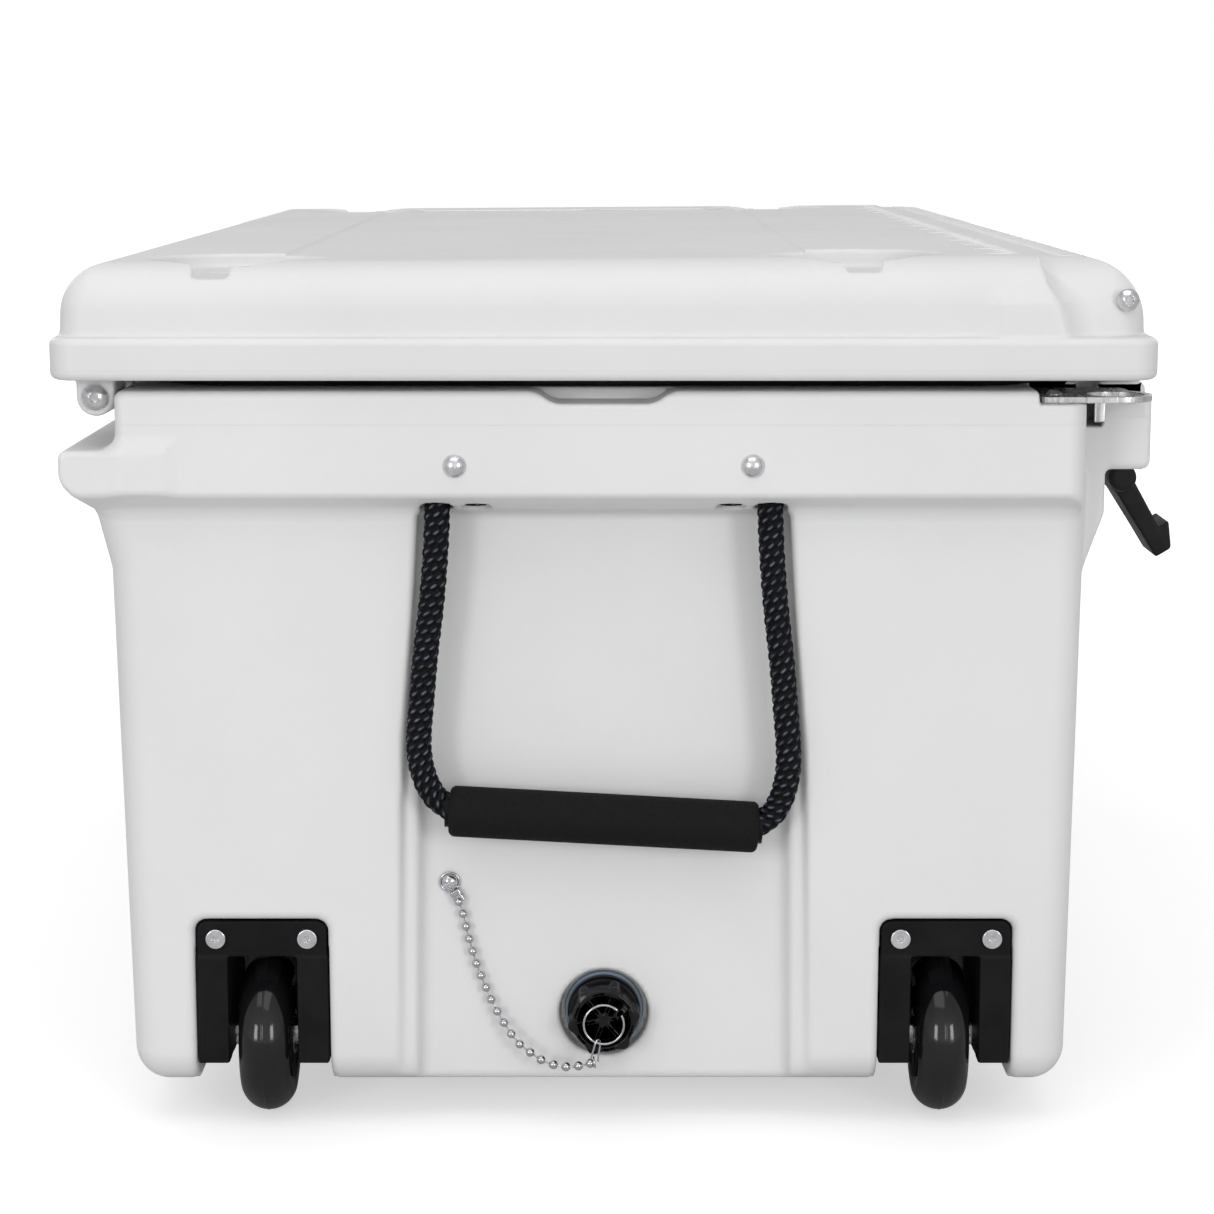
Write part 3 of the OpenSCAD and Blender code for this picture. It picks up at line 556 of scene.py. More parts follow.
tub_grid = (
    graded(-423, (-384, 1.6), (-318, 3), (-295, 4), (-286, 2), (-254, 3.5), (-250, 2),
           (180, 5), (220, 2.5), (250, 4), (290, 2.5), (336, 4), (423, 2.2)),
    graded(-260, (-208, 1.8), (-188, 3), (-130, 3), (-78, 2), (-50, 3), (-24, 2.5), (24, 1.6),
           (50, 2.5), (78, 3), (108, 2), (126, 3), (134, 2), (192, 3), (206, 2.5), (254, 1.8)),
    graded(16, (46, 1.8), (78, 2.6), (112, 1.8), (260, 4.5), (284, 3), (360, 1.6)))
shell = solid("tub_shell", tub, tub_grid, "root", "moulded_plastic", 190000)
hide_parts("body_shell")

# ---- lid

CUPS = (-115, -118, 409.5), (172, 178.5, 406.5)  # centre, middle of the notch, its sill


def lid(x, y, z):
    ax, ay = abs(x), abs(y)
    top = 416.5 - 0.007 * (y + 200) * (y > -200)
    d = meet(meet(ax - 425, ay - 252, 14), meet(z - 380.6, 361.2 - z), 3.5)
    # Main dome, and a strip along the front that is lower and shorter
    draft = (388 - z) * 0.05
    main = meet(ax - 419 - draft, y - 248 - draft, 15)
    main = meet(main, z - top, 21.5)
    main = meet(main, -199 - 0.3 * np.maximum(412 - z, 0) - y, 2)
    strip = meet(ax - 410.5 - (388 - z) * 0.04, -248 - y - (388 - z) * 0.03, 16)
    strip = meet(meet(strip, z - 415.5, 28), y + 190)
    dome = join(main, strip, 1 + 19 * np.clip((412 - z) / 16, 0, 1))
    dome = meet(dome, 370 - z)
    d = join(d, dome, 1.6)
    # Centre panel
    panel = meet(ax - 352, abs(y - 28.5) - 125, 14)
    d = cut(d, meet(panel, top - 1.1 - z), 1)
    # Cup holders, each open to the end of the lid by a notch
    for cup, spout, sill in CUPS:
        well = meet(hypot(ax - 361, y - cup) - 44, 407 - z, 3)
        d = cut(d, well, 1.5)
        notch = meet(abs(y - spout) - 7.6 - 0.25 * (z - sill), sill - z, 1.2)
        d = cut(d, meet(notch, 361 - ax), 0.8)
    # Inner panel and the groove of the gasket
    inner = meet(meet(ax - 340, ay - 166, 26), 349 - z, 6)
    d = join(d, meet(inner, z - 365), 3)
    groove = abs(meet(ax - GASKET_X, ay - GASKET_Y, GASKET_CORNER)) - 6.2
    d = cut(d, meet(groove, z - 363), 0.6)
    # Hinge knuckles, and room for the tub's
    pin = hypot(y - HINGE_Y, z - HINGE_Z)
    block = meet(meet(y - 241.3, 223.8 - y), meet(HINGE_Z - z, z - 366))
    knuckle = join(near_any(ax, LID_KNUCKLES), ax) - 17
    d = join(d, meet(join(pin - 8.8, block), knuckle, 1.5), 3)
    d = cut(d, meet(pin - 9.9, near_any(ax, BODY_KNUCKLES) - 31), 1)
    d = cut(d, pin - 4.5)
    # Slots for the latch arms and the bore of their rod
    d = cut(d, meet(abs(ax - LATCH_X) - ARM_SLOT, y + 229), 3)
    d = cut(d, hypot(y - LATCH_Y, z - LATCH_Z) - 3.6)
    # Fill port
    return cut(d, meet(hypot(x - FILL_X, y) - FILL_R, z - 357), 0.8)


lid_grid = (
    graded(-429, (-398, 1.5), (-352, 2.2), (-346, 1.4), (-310, 2.2), (-290, 4), (-284, 2),
           (-256, 3.5), (-250, 2), (186, 5), (214, 2.5), (250, 4), (290, 2.5), (310, 3),
           (346, 2.4), (356, 1.5), (429, 2)),
    graded(-256, (-190, 1.6), (-165, 3), (-150, 2.5), (-80, 2), (-26, 4), (26, 2.5), (124, 4),
           (148, 2.4), (158, 1.5), (205, 2.2), (256, 1.6)),
    graded(340, (364, 1.6), (380, 2), (398, 2.2), (420, 1.5)))
cover = solid("lid_shell_moulded", lid, lid_grid, "lid", "moulded_plastic", 170000)
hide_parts("lid_shell")

# ---- measuring marks on the lid


def bars(spans, radius):
    """Low rounded bars, each from one point to another."""
    parts = []
    for a, b in spans:
        line = np.linspace(a, b, 3)
        parts.append(sweep(line, np.full((3, 8), radius)))
    return combine(parts)


def scale_marks(first, step, count, every, foot_y, long, short, z):
    """A ruler's strokes, with a long one at each every-th place. The strokes grow from foot_y."""
    spans = []
    for k in range(count):
        along, reach = first + step * k, short if k % every else long
        spans.append(((along, foot_y, z), (along, foot_y + reach, z)))
    return spans


marks = (scale_marks(-380, 10, 77, 5, -194, 17, 10, 416.35)
         + scale_marks(-378, 6.35, 120, 4, -207.5, -15, -8, 415.3))
ruler = mesh_object("lid_measuring_marks", *bars(marks, 0.6), "lid", "moulded_plastic")

# ---- wheel brackets and wheels

SCREW_Z, SCREW_GAP = 93.2, 43.5
BRACKET_X = -396
FOUR = [((1, side, 1), (0, side * shift, 0)) for side in (-1, 1) for shift in (0, SCREW_GAP)]


def bracket(x, y, z):
    side = abs(y - WHEEL_Y)
    d = meet(meet(side - 31, z - 101.8, 5), meet(31.3 - z, BRACKET_X - x), 1)
    flange = meet(d, x - BRACKET_X - 10)
    cheeks = meet(meet(d, x + 331, 4), z - 84, 1)
    d = join(flange, cheeks, 1.5)
    d = cut(d, meet(side - 16.5, z - 84, 1.5), 1)
    # Thinned outside each cheek, between the ribs round its edge
    panel = meet(meet(abs(x + 363) - 24, abs(z - 60) - 20, 5), 29.6 - side, 0.8)
    d = cut(d, panel, 0.8)
    pin = hypot(x - AXLE_X, z - AXLE_Z)
    d = join(d, meet(pin - 12, meet(side - 31, 17 - side)), 1)
    d = meet(d, 31.3 - z)
    d = cut(d, meet(pin - 8, 25 - side), 0.4)
    d = cut(d, pin - 4.1, 0.3)
    return cut(d, hypot(side - SCREW_GAP / 2, z - SCREW_Z) - 2.7, 0.4)


grid = (graded(-398, (-384, 0.9), (-329, 1.6)), even(130, 196, 1.0), even(29, 105, 1.0))
brackets = solid("wheel_bracket_pair", bracket, grid, "root", "black_plastic", 40000, TWO_SIDES)
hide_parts("wheel_brackets")


def cross_recess(out, y, z):
    arms = join(meet(abs(y) - 0.6, abs(z) - 2.1, 0.3), meet(abs(z) - 0.6, abs(y) - 2.1, 0.3))
    return meet(arms, -1.5 - out)


def star_recess(out, y, z):
    star = hypot(y, z) - 1.35 - 0.25 * np.cos(6 * np.arctan2(z, y))
    return meet(star, -1.4 - out)


def hex_recess(out, y, z):
    flats = meet(abs(y), 0.5 * abs(y) + 0.866 * abs(z)) - 2
    return meet(flats, -2.0 - out)


def screw(place, head_r, head_h, shank_r, length, recess, domed):
    """A screw whose head points along -X at this place."""
    def field(x, y, z):
        out, y, z = place[0] - x, y - place[1], z - place[2]
        r = hypot(y, z)
        if domed:
            ball = (head_r ** 2 + head_h ** 2) / (2 * head_h)
            head = np.sqrt(r * r + (out - head_h + ball) ** 2) - ball
            head = meet(head, -out, 0.3)
        else:
            head = meet(meet(r - head_r, out - head_h, 0.5), -out, 0.2)
        d = join(head, meet(r - shank_r, meet(-length - out, out - 0.5)), 0.1)
        return cut(d, recess(out - head_h, y, z), 0.15)
    return field


def screw_grid(place, head_r, head_h, length):
    x, y, z = place
    wide = head_r + 1
    return (graded(x - head_h - 0.8, (x + 0.8, 0.22), (x + length + 1, 2.5)),
            even(y - wide, y + wide, 0.24), even(z - wide, z + wide, 0.24))


def fastener(name, node, body, place, sizes, recess, most, copies=ONE, domed=True):
    """One kind of screw or rod. The sizes are those of the head, then those of the shank."""
    head_r, head_h, _, length = sizes
    made = solid(name, screw(place, *sizes, recess, domed),
                 screw_grid(place, head_r, head_h, length), body, "steel", most, copies)
    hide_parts(node)


fastener("bracket_screw_heads", "bracket_screws", "root",
         (BRACKET_X, WHEEL_Y - SCREW_GAP / 2, SCREW_Z), (4.75, 2.2, 2.5, 30), star_recess,
         6000, FOUR, domed=False)
fastener("chain_anchor_screw", "chain_screw", "root", (-389.2, ANCHOR_Y, ANCHOR_Z),
         (4, 2.6, 1.5, 12.5), cross_recess, 8000)
fastener("hinge_rod_and_head", "hinge_rod", "root", (-409, HINGE_Y, HINGE_Z),
         (6, 3.6, 4, 817), hex_recess, 20000)
fastener("latch_rod_and_head", "latch_rod", "lid", (-411, LATCH_Y, LATCH_Z),
         (5.2, 3.6, 3, 822), hex_recess, 20000)


def upright(field):
    """The same solid turned so that what pointed along -X points along +Z."""
    return lambda x, y, z: field(-z, y, x)


lying = (-353, -207, -399)  # place of a lock plate's screw before it is turned upright
lengthwise, crosswise, upward = screw_grid(lying, 4.5, 2.2, 16)
screws = solid("lock_plate_screw_pair", upright(screw(lying, 4.5, 2.2, 2, 16, cross_recess, True)),
               (upward, crosswise, -lengthwise[::-1]), "root", "steel", 6000, TWO_ENDS)
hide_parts("lock_plate_screws")

CROWN_R, WHEEL_R, WHEEL_HALF = 13, 38, 12
CROWN_INSET = 0.25  # the tread lies this far inside, so that the mould seam stays within WHEEL_R


def seam_height(across):
    """Height of the mould seam this far from the middle of the tread."""
    return 0.22 * math.exp(-(across / 0.35) ** 2)


def tyre_profile():
    """Outline of the tyre from one inner edge round the tread to the other, with a mould seam."""
    centre = WHEEL_R - CROWN_R
    crown = CROWN_R - CROWN_INSET
    widest = math.asin(WHEEL_HALF / CROWN_R)
    tread = []
    for a in np.linspace(-widest, widest, 61):
        w = CROWN_R * math.sin(a)
        tread.append((w, centre + crown * math.cos(a) + seam_height(w)))
    middle_band = [-0.7 + 0.1 * k for k in range(15)]
    fine = [(w, centre + crown + seam_height(w)) for w in middle_band]
    tread = sorted([p for p in tread if abs(p[0]) > 0.75] + fine)
    return [(-11.5, 22), (-11.5, 25.3), (-11.7, 26.2)] + tread + [
        (11.7, 26.2), (11.5, 25.3), (11.5, 22)]


def bearing_profile(w0):
    """Outline of one bearing: its shield lies below both races."""
    side = [(0, 4.05), (0, 6.0), (0.25, 6.2), (0.5, 6.3), (0.5, 9.0), (0.25, 9.1), (0, 9.3),
            (0, 10.7), (0.3, 11.0)]
    back = [(7 - w, r) for w, r in reversed(side)]
    return [(w0 + w, r) for w, r in side + back]


for word, side in (("front", -1), ("back", 1)):
    hub = (AXLE_X, side * WHEEL_Y, AXLE_Z)
    tyre = mesh_object(word + "_tyre", *lathe(tyre_profile(), 144, hub, "y"),
                       word + "_wheel", "urethane")
    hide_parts(word + "_wheel_tyre")
    both = combine([lathe(bearing_profile(w), 72, hub, "y") for w in (-12, 5)])
    rings = mesh_object(word + "_bearings", *both, word + "_wheel", "steel")
    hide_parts(word + "_wheel_bearings")

# ---- latches

BAR_Y, BAR_Z = -258, 302


def latch(centre):
    lean = math.atan2(LATCH_Y - BAR_Y, LATCH_Z - BAR_Z)
    reach = math.hypot(LATCH_Y - BAR_Y, LATCH_Z - BAR_Z)
    tab = math.radians(31)

    def field(x, y, z):
        across = abs(x - centre)
        ry, rz = y - LATCH_Y, z - LATCH_Z
        d = meet(hypot(ry, rz) - 8, across - 15, 2)
        down = -ry * math.sin(lean) - rz * math.cos(lean)
        out = -ry * math.cos(lean) + rz * math.sin(lean)
        arm = meet(meet(abs(out) - 4, across - 14.5, 2), abs(down - reach / 2) - reach / 2, 1)
        hollow = meet(meet(across - 9, abs(down - 48) - 27, 4), 2.9 - out, 0.8)
        d = join(d, cut(arm, hollow, 0.8), 3)
        by, bz = y - BAR_Y, z - BAR_Z
        d = join(d, meet(hypot(by, bz) - 7, across - 31, 3), 3)
        down = -by * math.sin(tab) - bz * math.cos(tab)
        out = -by * math.cos(tab) + bz * math.sin(tab)
        pull = meet(meet(abs(out) - 5.6 + 0.03 * down, across - 17, 1.5),
                    meet(down - 46, -down), 1.2)
        wedge = meet(-4.2 - out, (out - 9.6 + 0.45 * (down - 35)) / 1.1)
        wedge = meet(meet(abs(down - 39.7) - 6.3, across - 17, 1.5), wedge, 1)
        d = join(d, join(pull, wedge, 0.6), 3)
        return cut(d, hypot(ry, rz) - 3.05, 0.5)
    return field


for word, centre in (("near", -LATCH_X), ("far", LATCH_X)):
    grid = (even(centre - 33, centre + 33, 1.1), even(-289, -228, 1.0), even(256, 407, 1.0))
    rubber = solid(word + "_rubber_latch", latch(centre), grid, word + "_latch",
                   "black_rubber", 40000)
    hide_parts(word + "_latch")

# ---- lock plates


def lock_plate(x, y, z):
    plate = hypot(x + 395, y + 236) - 17
    plate = join(plate, meet(meet(-412 - x, x + 362.5), abs(y + 218) - 18, 2))
    plate = join(plate, meet(abs(x + 378.7) - 16.2, abs(y + 222.5) - 22.5, 5))
    d = meet(plate, abs(z - 351.5) - 1.5, 0.35)
    tab = meet(abs(y + 233.2) - 4.9, 338.6 - z, 0.8)
    tab = meet(meet(tab, z - 351), abs(x + 385) - 1, 0.3)
    d = join(d, tab, 0.8)
    d = cut(d, hypot(x + 397, y + 236) - 13, 0.3)
    return cut(d, hypot(x + 399, y + 207) - 2.3, 0.2)


grid = (even(-414, -361, 0.55), even(-255, -197, 0.55), graded(337, (348.5, 0.7), (354.5, 0.3)))
plates = solid("padlock_plates", lock_plate, grid, "root", "stainless", 24000, TWO_ENDS)
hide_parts("lock_plates")

# ---- drain

RING_X, RING_R = -407, 9.5


def plug(x, y, z):
    z = z - DRAIN_Z
    r, turn = hypot(y, z), np.arctan2(-y, z)
    d = meet(r - 15.2, meet(-403 - x, x + 388.1), 1)
    sector = np.mod(turn - math.radians(20) + math.pi / 6, math.pi / 3) - math.pi / 6
    along, across = r * np.cos(sector), r * np.sin(sector)
    lobe = meet(hypot(along - 14, across) - 3.4, meet(-402.4 - x, x + 389), 1)
    d = join(d, lobe, 1.5)
    thread = 0.45 * (1 + np.cos(2 * math.pi * x / 4 + turn))
    shank = meet((r - 11.9 + thread) / 1.25, meet(-390 - x, x + 352), 1)
    d = join(d, shank)
    d = cut(d, meet(r - 12.6, x + 391), 0.8)
    d = cut(d, meet(r - 8, -360 - x), 0.5)
    rib = meet(abs(across) - 1.2, meet(-400.5 - x, x + 390), 0.6)
    rib = meet(meet(rib, r - 13.6), -along)
    inside = join(rib, meet(r - 3.2, meet(-400.2 - x, x + 390), 0.5), 0.8)
    d = join(d, inside)
    ear = math.radians(50)
    along, across = r * np.cos(turn - ear), r * np.sin(turn - ear)
    tab = meet(abs(across) - 1.4, meet(abs(along - 10) - 3.5, -410 - x, 2), 0.4)
    tab = cut(meet(tab, x + 390), hypot(x - RING_X, along - RING_R) - 1.4, 0.2)
    return join(d, tab)


knob = solid("drain_plug_knob", plug,
             (even(-411.5, -350.5, 0.5), even(-19, 19, 0.5), even(DRAIN_Z - 19, DRAIN_Z + 19, 0.5)),
             "drain_plug", "gloss_black", 90000)
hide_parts("drain_plug")


def flat_ring(x0, x1, r_in, r_out, edge):
    """Outline of a ring with rounded outer edges."""
    corner = [(edge * (1 - math.sin(a)), r_out - edge * (1 - math.cos(a)))
              for a in np.linspace(0, math.pi / 2, 5)]
    return ([(x0, r_in)] + [(x0 + inset, r) for inset, r in corner[::-1]]
            + [(x1 - inset, r) for inset, r in corner] + [(x1, r_in)])


seal = mesh_object("drain_seal_ring", *lathe(flat_ring(-383, -380, 15.1, 19, 0.8), 96,
                                             (0, 0, DRAIN_Z), "x"), "root", "grey_seal")
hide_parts("drain_seal")
washer = mesh_object("plug_washer", *lathe(flat_ring(-388, -386.1, 12.05, 16.6, 0.6), 96,
                                           (0, 0, DRAIN_Z), "x"), "plug_seat", "black_rubber")
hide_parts("plug_gasket")

# Key ring of nearly two turns of wire
turn = np.linspace(math.radians(118), math.radians(118 + 690), 300)
wire = np.stack([RING_X - 0.55 + 1.1 * (turn - turn[0]) / (turn[-1] - turn[0]),
                 RING_R * np.cos(turn), DRAIN_Z + RING_R * np.sin(turn)], axis=1)
ring = mesh_object("key_ring", *sweep(wire, np.full((300, 12), 0.52)), "drain_plug", "chrome_wire")
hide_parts("split_ring")

# Narrow wire loop through the ring, and the clasp on the last bead
loop = smooth_path([(-405.6, 6.5, 35.6), (-406.6, 5.9, 38.2), (-407.9, 5.0, 41.5),
                    (-408.4, 4.2, 44.6), (-407.9, 3.4, 46.4), (-406.8, 2.5, 46.6),
                    (-405.8, 1.8, 45.2), (-405.9, 2.0, 42), (-406.2, 2.6, 38.4),
                    (-406.5, 2.7, 35.6)], 0.3)
band = np.linspace(0, 2 * math.pi, 40)
clasp = np.stack([-406 + 2.45 * np.sin(band), 4.5 + 0.4 * np.cos(band),
                  35 + 2.45 * np.cos(band)], axis=1)
loop_parts = [sweep(loop, np.full((len(loop), 10), 0.45)),
              sweep(clasp, np.full((40, 10), 0.4), (0, 1, 0))]
wire_loop = mesh_object("chain_wire_loop", *combine(loop_parts), "plug_seat", "chrome_wire")
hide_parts("chain_end_link")


def eyelet(x, y, z):
    y, z = y - ANCHOR_Y, z - ANCHOR_Z
    r = hypot(y, z)
    d = meet(r - 4.6, abs(x + 388.6) - 0.5, 0.3)
    d = join(d, hypot(r - 4.5, x + 388.9) - 0.6, 0.2)
    down, across = -0.5 * y - 0.866 * z, abs(0.866 * y - 0.5 * z)
    box = meet(meet(across - 2.7, abs(x + 390.2) - 2.1, 1), abs(down - 7.4) - 3.2, 0.6)
    box = cut(box, meet(across - 3.5, abs(down - 7.2) - 0.35, 0.1), 0.1)
    box = join(box, meet(meet(across - 2.2, abs(x + 390.2) - 1.6, 1),
                         abs(down - 7.4) - 3, 0.4))
    d = join(d, box, 0.6)
    return cut(d, r - 1.6, 0.1)


grid = (even(-393.4, -387, 0.25), even(60, 79.5, 0.25), even(106, 125, 0.25))
eye = solid("chain_eyelet_and_clasp", eyelet, grid, "root", "chrome_wire", 16000)
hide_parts("chain_eyelet")

# ---- grips, feet and gasket

GRIP_R, GRIP_HALF = 12, 72.6


def grip_profile():
    """Outline of a foam sleeve with soft ends."""
    outline = [(-GRIP_HALF + 0.6, 7.75)]
    for end in (-1, 1):
        arc = [math.radians(a) for a in range(0, 91, 9)]
        corner = [(end * (GRIP_HALF - 3 + 3 * math.cos(a)), GRIP_R - 3 + 3 * math.sin(a))
                  for a in arc]
        outline += corner if end < 0 else corner[::-1]
    return outline + [(GRIP_HALF - 0.6, 7.75)]


def grip_shape(end):
    points, faces = lathe(grip_profile(), 96, (0, 0, 0), "y")
    lean = math.atan(GRIP_SLOPE)
    y = points[:, 1] * math.cos(lean) - points[:, 2] * math.sin(lean)
    z = points[:, 1] * math.sin(lean) + points[:, 2] * math.cos(lean)
    return np.stack([end * ROPE_X + points[:, 0], y, GRIP_Z + z], axis=1), faces


for word, end in (("near", -1), ("far", 1)):
    foam = mesh_object(word + "_foam_grip", *grip_shape(end), word + "_handle", "grip_foam")
    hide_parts(word + "_grip")
    rope, path = ropes[word]
    placed((end * ROPE_X, 77.2, ROPE_TOP))
    length_of(path) * MM
    placed(path[::4])
placed(CHAIN[0])
length_of(chain_path) * MM
placed(chain_path[::6])


def foot(x, y, z):
    side, along = abs(y - WHEEL_Y), abs(x - 345)
    d = meet(meet(along - 40, side - 26, 10), meet(-z, z - 20), 1.2)
    tread = abs(np.mod(x - 345 + 4, 8) - 4) - 1.0
    groove = meet(meet(tread, z - 1.6), along - 36)
    hole = hypot(along - 25, side)
    d = cut(d, meet(groove, 9 - hole), 0.4)
    d = cut(d, meet(hole - 6, z - 8), 0.5)
    return cut(d, hole - 2.75, 0.2)


grid = (even(303, 387, 1.0), even(135, 191, 1.2), graded(-1.5, (3, 0.6), (21.5, 1.4)))
feet = solid("rubber_feet", foot, grid, "root", "black_rubber", 30000, TWO_SIDES)
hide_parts("tub_feet")


def gasket(x, y, z):
    ring = abs(meet(abs(x) - GASKET_X, abs(y) - GASKET_Y, GASKET_CORNER))
    d = meet(ring - 5.8, abs(z - 359.6) - 3.2, 2.8)
    return cut(d, hypot(ring - 5.8, z - 361) - 1.0, 0.3)


grid = (graded(-396, (-350, 1.4), (350, 12), (396, 1.4)),
        graded(-211, (-160, 1.4), (160, 12), (211, 1.4)), even(355, 364.2, 0.9))
rubber = solid("lid_seal", gasket, grid, "lid", "black_rubber", 60000)
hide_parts("lid_gasket")

# ---- materials


def link(tree, output, target):
    tree.links.new(output, target)


def add(tree, kind, inputs=(), **settings):
    """A new shader node. Each input is a constant or another node's output."""
    node = tree.nodes.new("ShaderNode" + kind)
    for key, value in settings.items():
        setattr(node, key, value)
    for key, value in dict(inputs).items():
        if isinstance(value, bpy.types.NodeSocket):
            link(tree, value, node.inputs[key])
        else:
            node.inputs[key].default_value = value
    return node


def socket_of(made, name):
    return made.node_tree.nodes["Principled BSDF"].inputs[name]


def material(name, colour, roughness, metallic=0.0, **sockets):
    made = bpy.data.materials.new(name)
    made.use_nodes = True
    socket_of(made, "Base Color").default_value = (*colour, 1)
    socket_of(made, "Roughness").default_value = roughness
    socket_of(made, "Metallic").default_value = metallic
    for socket, value in sockets.items():
        socket_of(made, socket.replace("_", " ")).default_value = value
    return made


def noise(tree, scale, detail=2.0, stretch=(1, 1, 1)):
    """Noise in the piece's own coordinates, in metres."""
    at = add(tree, "TexCoord").outputs["Object"]
    if stretch != (1, 1, 1):
        at = add(tree, "Mapping", {"Scale": stretch, "Vector": at}).outputs["Vector"]
    return add(tree, "TexNoise", {"Scale": scale, "Detail": detail, "Vector": at}).outputs["Fac"]


def grain(made, layers):
    """Bumps in layers of (scale, height in metres)."""
    tree = made.node_tree
    inputs = {}
    for scale, height in layers:
        inputs.update({"Distance": height, "Height": noise(tree, scale)})
        inputs["Normal"] = add(tree, "Bump", inputs).outputs["Normal"]
    link(tree, inputs["Normal"], socket_of(made, "Normal"))


def ramp(tree, fac, low, high, start=0.35, end=0.65):
    """Maps the middle of a noise onto low to high: numbers, or colours."""
    node = add(tree, "ValToRGB", {"Fac": fac})
    node.color_ramp.elements[0].position = start
    node.color_ramp.elements[1].position = end
    for element, value in zip(node.color_ramp.elements, (low, high)):
        element.color = (*value, 1) if hasattr(value, "__len__") else (value, value, value, 1)
    return node.outputs["Color"]


def drift(made, scale, low, high):
    """Base colour that drifts between two near ones."""
    tree = made.node_tree
    link(tree, ramp(tree, noise(tree, scale, 3), low, high), socket_of(made, "Base Color"))


def wear(made, scale, low, high, stretch=(1, 1, 1)):
    """Roughness that drifts between two values."""
    tree = made.node_tree
    link(tree, ramp(tree, noise(tree, scale, 4, stretch), low, high), socket_of(made, "Roughness"))


def parting_line(made, height):
    """A hairline mould seam round the piece at this height, in millimetres."""
    tree, normal = made.node_tree, socket_of(made, "Normal")
    split = add(tree, "SeparateXYZ", {"Vector": add(tree, "TexCoord").outputs["Object"]})
    near = add(tree, "Math", {0: split.outputs["Z"], 1: height * MM, 2: 0.3 * MM},
               operation="COMPARE")
    bump = add(tree, "Bump", {"Distance": 0.25 * MM, "Height": near.outputs["Value"],
                              "Normal": normal.links[0].from_socket})
    link(tree, bump.outputs["Normal"], normal)


def finish(name, colour, roughness, drifting, worn, layers, metallic=0.0, **sockets):
    """A material with its detail: what drift() and wear() are given, and the layers of grain."""
    made = material(name, colour, roughness, metallic, **sockets)
    if drifting:
        drift(made, *drifting)
    if worn:
        wear(made, *worn)
    grain(made, layers)
    return made


def moulded(name, seam, painted_shade):
    """The white polyethylene; the last argument scales its colour down, more for the lid's copy
    than for the tub's: painted shade on one and the same plastic.
    """
    made = finish(name, (0.70, 0.70, 0.70), 0.46,
                  (7, (painted_shade * 0.69,) * 3, (painted_shade * 0.72,) * 3), (30, 0.42, 0.52),
                  [(45, 0.00012), (420, 0.00005), (1500, 0.00002)],
                  Subsurface_Weight=0.04, Subsurface_Scale=0.004)
    parting_line(made, seam)
    return made


def braided():
    """Black fibre with painted glints: the base colour turns blue-grey along the top of each
    stitch, more on some stitches than on others, as a painted highlight.
    """
    made = material("rope_fibre_painted_glints", (0.005, 0.005, 0.006), 0.5, Specular_IOR_Level=0.12)
    grain(made, [(1600, 0.00012)])
    tree = made.node_tree
    # The painted glint mask, broken up by noise, lightens the black base colour: painted highlight
    painted_glint = add(tree, "Attribute", attribute_name="painted_glint").outputs["Fac"]
    glint_patches = ramp(tree, noise(tree, 350), 0.35, 1.0)
    painted_glint_level = add(tree, "Math", {0: painted_glint, 1: glint_patches}, operation="MULTIPLY").outputs["Value"]
    link(tree, ramp(tree, painted_glint_level, (0.002, 0.002, 0.003), (0.115, 0.14, 0.185), 0.05, 0.8),
         socket_of(made, "Base Color"))
    return made


# Both copies are the same plastic; the lid's is painted darker (0.94 against 0.985) as painted
# shade
tub_plastic = moulded("tub_polyethylene", 341, 0.985)
lid_plastic_painted_darker = moulded("lid_polyethylene_painted_darker", 366, 0.94)
FINISH = {
    "moulded_plastic": tub_plastic,
    "rope": braided(),
    "grip_foam": finish("grip_foam", (0.008, 0.008, 0.009), 0.85,
                        (700, (0.0075, 0.0075, 0.008), (0.0095, 0.0095, 0.010)), None,
                        [(420, 0.00025), (1500, 0.0001)], Specular_IOR_Level=0.12),
    "black_rubber": finish("latch_rubber", (0.008, 0.008, 0.009), 0.5,
                           (60, (0.006, 0.006, 0.007), (0.011, 0.011, 0.012)),
                           (40, 0.42, 0.6), [(900, 0.00003)], Specular_IOR_Level=0.2),
    "black_plastic": finish("bracket_nylon", (0.005, 0.005, 0.006), 0.5,
                            (50, (0.004, 0.004, 0.005), (0.007, 0.007, 0.008)),
                            (60, 0.42, 0.56), [(1100, 0.00004)], Specular_IOR_Level=0.13),
    "gloss_black": finish("plug_plastic", (0.004, 0.004, 0.005), 0.16,
                          (60, (0.003, 0.003, 0.004), (0.006, 0.006, 0.007)),
                          (80, 0.12, 0.24), [(250, 0.00002)], Specular_IOR_Level=0.25),
    "urethane": finish("tyre_urethane", (0.005, 0.005, 0.006), 0.1,
                       (40, (0.004, 0.004, 0.005), (0.007, 0.007, 0.008)), (70, 0.07, 0.15),
                       [(300, 0.00002), (1400, 0.00001)], Specular_IOR_Level=0.42),
    "grey_seal": finish("seal_rubber", (0.16, 0.21, 0.27), 0.45,
                        (90, (0.14, 0.19, 0.25), (0.19, 0.24, 0.30)), None, [(700, 0.00003)]),
    "chrome_wire": finish("chrome_wire", (0.52, 0.52, 0.54), 0.12, None,
                          (200, 0.08, 0.2), [(500, 0.00001)], 1.0),
    "steel": finish("plated_steel", (0.66, 0.66, 0.68), 0.2,
                    (250, (0.60, 0.60, 0.63), (0.74, 0.74, 0.75)),
                    (300, 0.14, 0.3), [(900, 0.000012)], 1.0),
    "stainless": finish("stainless_plate", (0.62, 0.62, 0.62), 0.3,
                        (120, (0.55, 0.55, 0.56), (0.70, 0.70, 0.70)),
                        (60, 0.2, 0.42, (1, 12, 1)), [(600, 0.00001)], 1.0),
    "foam_core": finish("foam_core", (0.72, 0.64, 0.42), 0.85,
                        (60, (0.66, 0.57, 0.36), (0.78, 0.70, 0.48)), None, [(700, 0.0004)]),
}
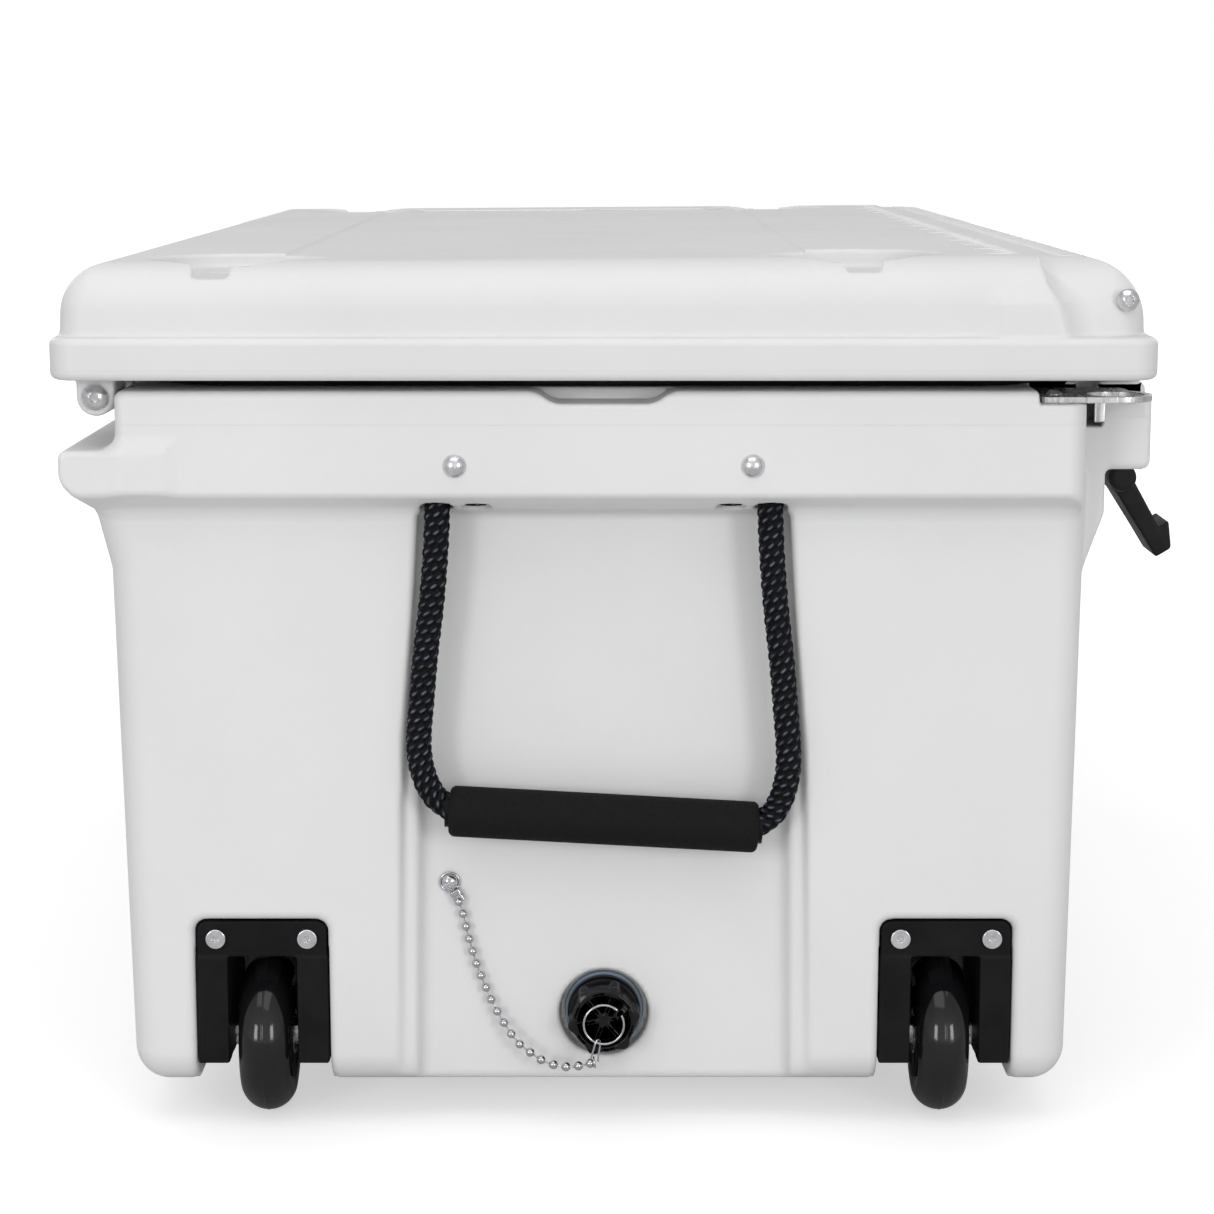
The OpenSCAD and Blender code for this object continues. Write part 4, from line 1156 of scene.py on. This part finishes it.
NODE_SLOTS = {
    "foam_core": ["body_foam", "lid_foam"],
    "moulded_plastic": ["body_fill_plug", "lid_fill_plug"],
    "gloss_black": ["drain_fitting"],
    "black_plastic": ["drain_inner_nut", "near_grip_core", "far_grip_core",
                      "front_wheel_hub", "back_wheel_hub"],
    "steel": ["tub_foot_screws", "axle_bolts", "axle_nuts", "axle_spacers", "rope_bolts",
              "rope_bolt_nuts", "hinge_rod_cap", "latch_rod_cap", "front_wheel_sleeve",
              "back_wheel_sleeve"],
}


def dress(piece, made):
    piece.data.materials.clear()
    piece.data.materials.append(made)


for slot_name, nodes in NODE_SLOTS.items():
    for node in nodes:
        dress(bpy.data.objects[node], FINISH[slot_name])
for piece in list(bpy.data.objects):
    if piece.type == "MESH" and "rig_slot" in piece:
        on_lid = piece in (cover, ruler)
        dress(piece, lid_plastic_painted_darker if on_lid else FINISH[piece["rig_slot"]])

# ---- floor and light


def area_light(name, place, aim, width, height, power):
    lamp = bpy.data.lights.new(name, "AREA")
    lamp.shape = "RECTANGLE"
    lamp.size, lamp.size_y = width, height
    lamp.energy = power
    piece = put(name, lamp)
    piece.location = place
    way = [b - a for a, b in zip(place, aim)]
    flat = math.hypot(way[0], way[1])
    piece.rotation_euler = (math.atan2(flat, -way[2]), 0, math.atan2(-way[0], way[1]))


SKY_FRONT, SKY_REST = 1.0, 0.56
SIDE_POWER, TOP_POWER, REAR_POWER = 41.5, 25, 8
GLOW_NEAR, GLOW_FAR = 0.52, 0.85
middle = (-0.2, 0, 0.2)
for word, side in (("left", 1), ("right", -1)):
    area_light(word + "_softbox", (-4.2, 2.6 * side, 1.1), middle, 1.0, 1.6, SIDE_POWER)
    area_light(word + "_rear_fill", (2.6, 1.9 * side, 1.4), middle, 1.0, 1.0, REAR_POWER)
area_light("overhead_softbox", (-1.0, 0.2, 2.8), middle, 2.6, 2.6, TOP_POWER)


def studio_world():
    """Brighter low down behind the photographer; what shows behind the cooler is white."""
    world = bpy.data.worlds.new("studio")
    world.use_nodes = True
    tree = world.node_tree
    way = add(tree, "TexCoord").outputs["Generated"]
    ahead = add(tree, "VectorMath", {0: way, 1: (1, 0, 0.45)}, operation="DOT_PRODUCT")
    fade = add(tree, "MapRange", {"Value": ahead.outputs["Value"], "From Min": 0.1,
                                  "From Max": -0.9, "To Min": SKY_REST, "To Max": SKY_FRONT},
               interpolation_type="SMOOTHSTEP")
    sky = tree.nodes["Background"]
    sky.inputs["Color"].default_value = (1, 1, 1, 1)
    link(tree, fade.outputs["Result"], sky.inputs["Strength"])
    backdrop = add(tree, "Background", {"Color": (1, 1, 1, 1)})
    seen = add(tree, "LightPath").outputs["Is Camera Ray"]
    mix = add(tree, "MixShader", {"Fac": seen, 1: sky.outputs["Background"],
                                  2: backdrop.outputs["Background"]})
    link(tree, mix.outputs["Shader"], tree.nodes["World Output"].inputs["Surface"])
    return world


def lit_paper():
    """White paper that glows for the camera only, and more with the distance."""
    made = material("lit_white_base", (0.6, 0.6, 0.6), 0.8, Specular_IOR_Level=0.0,
                    Emission_Color=(1, 1, 1, 1))
    tree = made.node_tree
    at = add(tree, "TexCoord").outputs["Object"]
    reach = add(tree, "VectorMath", {0: at}, operation="LENGTH").outputs["Value"]
    rise = add(tree, "MapRange", {"Value": reach, "From Min": 0.6, "From Max": 2.4,
                                  "To Min": GLOW_NEAR, "To Max": GLOW_FAR}).outputs["Result"]
    seen = add(tree, "LightPath").outputs["Is Camera Ray"]
    glow = add(tree, "Math", {0: seen, 1: rise}, operation="MULTIPLY").outputs["Value"]
    link(tree, glow, socket_of(made, "Emission Strength"))
    return made


scene.world = studio_world()
scene.view_settings.view_transform = "Standard"

FLOOR_REACH = 12
floor_mesh = bpy.data.meshes.new("floor")
corners = [(FLOOR_REACH * x, FLOOR_REACH * y, 0) for x, y in ((-1, -1), (1, -1), (1, 1), (-1, 1))]
floor_mesh.from_pydata(corners, [], [(0, 1, 2, 3)])
floor = put("floor", floor_mesh)
floor_mesh.materials.append(lit_paper())
